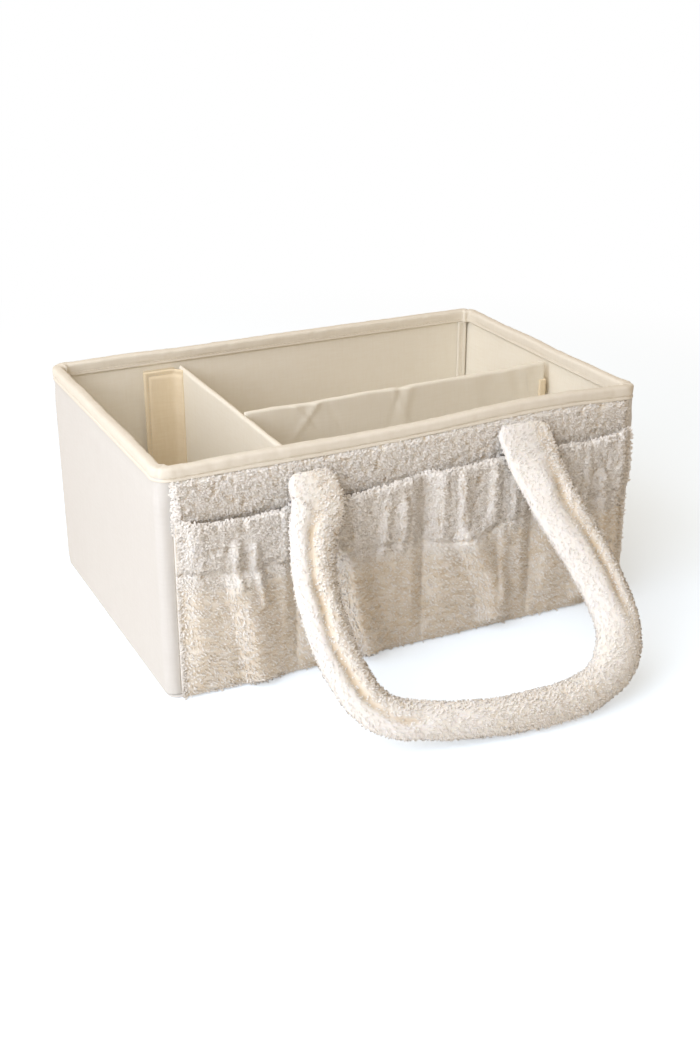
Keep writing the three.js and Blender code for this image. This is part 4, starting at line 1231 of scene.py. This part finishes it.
linings()
end_cover("left")
end_cover("right")
base_panel()
rim_binding()
corner_bindings()
flap("cross_flap_front", "cross_divider", "cross_front_flap", -1, -1, FROM_FACE)
flap("cross_flap_back", "cross_divider", "cross_back_flap", -1, 1, FROM_FACE)
flap("long_flap_left", "long_divider", "long_left_flap", 1, -1, FROM_FACE)
flap("long_flap_right", "long_divider", "long_right_flap", 1, 1, ROUND_END)
divider(
    "cross_divider",
    ["cross_flap_front", "cross_flap_back", "cross_divider_loop_tape", "long_divider_cover",
     "long_flap_left"],
    [(-58, 0.0, 2.2, -0.5, -1)],
    ((-117, 0), (117, 0)),
    101,
)
divider(
    "long_divider",
    ["long_flap_left", "long_flap_right", "cross_divider_cover"],
    [(-44, 0.9, 2.4, 1.1, -1), (-37, 0.6, 2.0, -0.9, -1), (-24, -0.8, 3.0, 1.2, -1),
     (-16, 0.5, 2.2, -0.7, -1), (40, 0.5, 3.0, 0.8, -1), (46, -0.3, 1.8, -1.1, -1),
     (54, -0.2, 4, 1.0, -1),
     (110, 0.3, 9, 0.7, -1), (140, 0.4, 6, 0.8, -1), (158, 0.3, 5, 0.6, -1)],
    ((-83, 0.4), (-60, 1.4), (-42, 0.9), (-30, 0.4), (-10, 1.2), (20, 1.8), (40, 2.0), (46, 0.8),
     (56, 1.8), (110, 2.4), (150, 3.2), (172, 4.0), (179, 3.6)),
    103,
)
tapes()
fleece_wall("front", 7)
fleece_wall("back", 9)
pocket("front", FRONT_FOLDS, 17)
pocket("back", BACK_FOLDS, 19)
handle("front", 23)
handle("back", 29)


# Studio

def studio():
    """A white paper sweep that reaches all round, one big lamp near the left, a top lamp, and a
    pale room."""
    material, tree, place = begin("white_paper_sweep")
    rays = add(tree, "ShaderNodeLightPath", {}, {})
    distance = add(tree, "ShaderNodeVectorMath", {"operation": "LENGTH"}, {0: place})
    fade = add(tree, "ShaderNodeMapRange", {"interpolation_type": "SMOOTHSTEP"}, {
        0: distance.outputs["Value"], 1: 0.45, 2: 0.95,
    })
    shade = add(tree, "ShaderNodeBsdfDiffuse", {}, {"Color": linear("#E6F3FF")})
    near_glow = add(tree, "ShaderNodeEmission", {}, {"Color": linear("#F6FAFF"), "Strength": 0.44})
    near = add(tree, "ShaderNodeAddShader", {}, {0: shade, 1: near_glow})
    far = add(tree, "ShaderNodeEmission", {}, {"Color": (1, 1, 1, 1), "Strength": 1.0})
    seen = add(tree, "ShaderNodeMixShader", {}, {0: fade, 1: near, 2: far})
    paper = add(tree, "ShaderNodeBsdfDiffuse", {}, {"Color": linear("#F4F3F1")})
    both = add(tree, "ShaderNodeMixShader", {}, {
        0: rays.outputs["Is Camera Ray"], 1: paper, 2: seen,
    })
    add(tree, "ShaderNodeOutputMaterial", {}, {"Surface": both})
    half = 6000.0
    corners = half * np.array([(-1, -1, 0), (1, -1, 0), (1, 1, 0), (-1, 1, 0)])
    new_piece("floor", corners, [(0, 1, 2, 3)], material, {})

    world = bpy.data.worlds.new("studio")
    scene.world = world
    world.use_nodes = True
    tree = world.node_tree
    tree.nodes.clear()
    rays = add(tree, "ShaderNodeLightPath", {}, {})
    room = add(tree, "ShaderNodeBackground", {}, {"Color": linear("#FFE5C2"), "Strength": 0.40})
    white = add(tree, "ShaderNodeBackground", {}, {"Color": (1, 1, 1, 1), "Strength": 1.0})
    seen = add(tree, "ShaderNodeMixShader", {}, {
        0: rays.outputs["Is Camera Ray"], 1: room, 2: white,
    })
    add(tree, "ShaderNodeOutputWorld", {}, {"Surface": seen})

    for name, spot, aim, size, power, colour in (
        ("key", (-1.26, -0.73, 1.1), (0, 0, 0.08), 1.5, 27.8, "#ECF3FF"),
        ("top", (-0.6, 0.3, 1.8), (0, 0, 0.05), 1.4, 7.5, "#FFFAF4"),
    ):
        data = bpy.data.lights.new(name, "AREA")
        data.size = size
        data.energy = power
        data.color = linear(colour)[:3]
        lamp = in_scene(name, data)
        lamp.location = spot
        direction = Vector(aim) - Vector(spot)
        lamp.rotation_euler = direction.to_track_quat("-Z", "Y").to_euler()


def camera():
    """The photograph's view: from the front left, a little above."""
    azimuth, elevation = math.radians(-26.06), math.radians(23.85)
    back = Vector((
        math.sin(azimuth) * math.cos(elevation),
        -math.cos(azimuth) * math.cos(elevation),
        math.sin(elevation),
    ))
    data = bpy.data.cameras.new("photograph")
    data.lens = 49.79
    data.sensor_width = 36
    view = in_scene("photograph", data)
    view.location = (-0.4566, -0.9553, 0.5131)
    view.rotation_euler = back.to_track_quat("Z", "Y").to_euler()
    scene.camera = view


studio()
camera()
scene.view_settings.view_transform = "Standard"
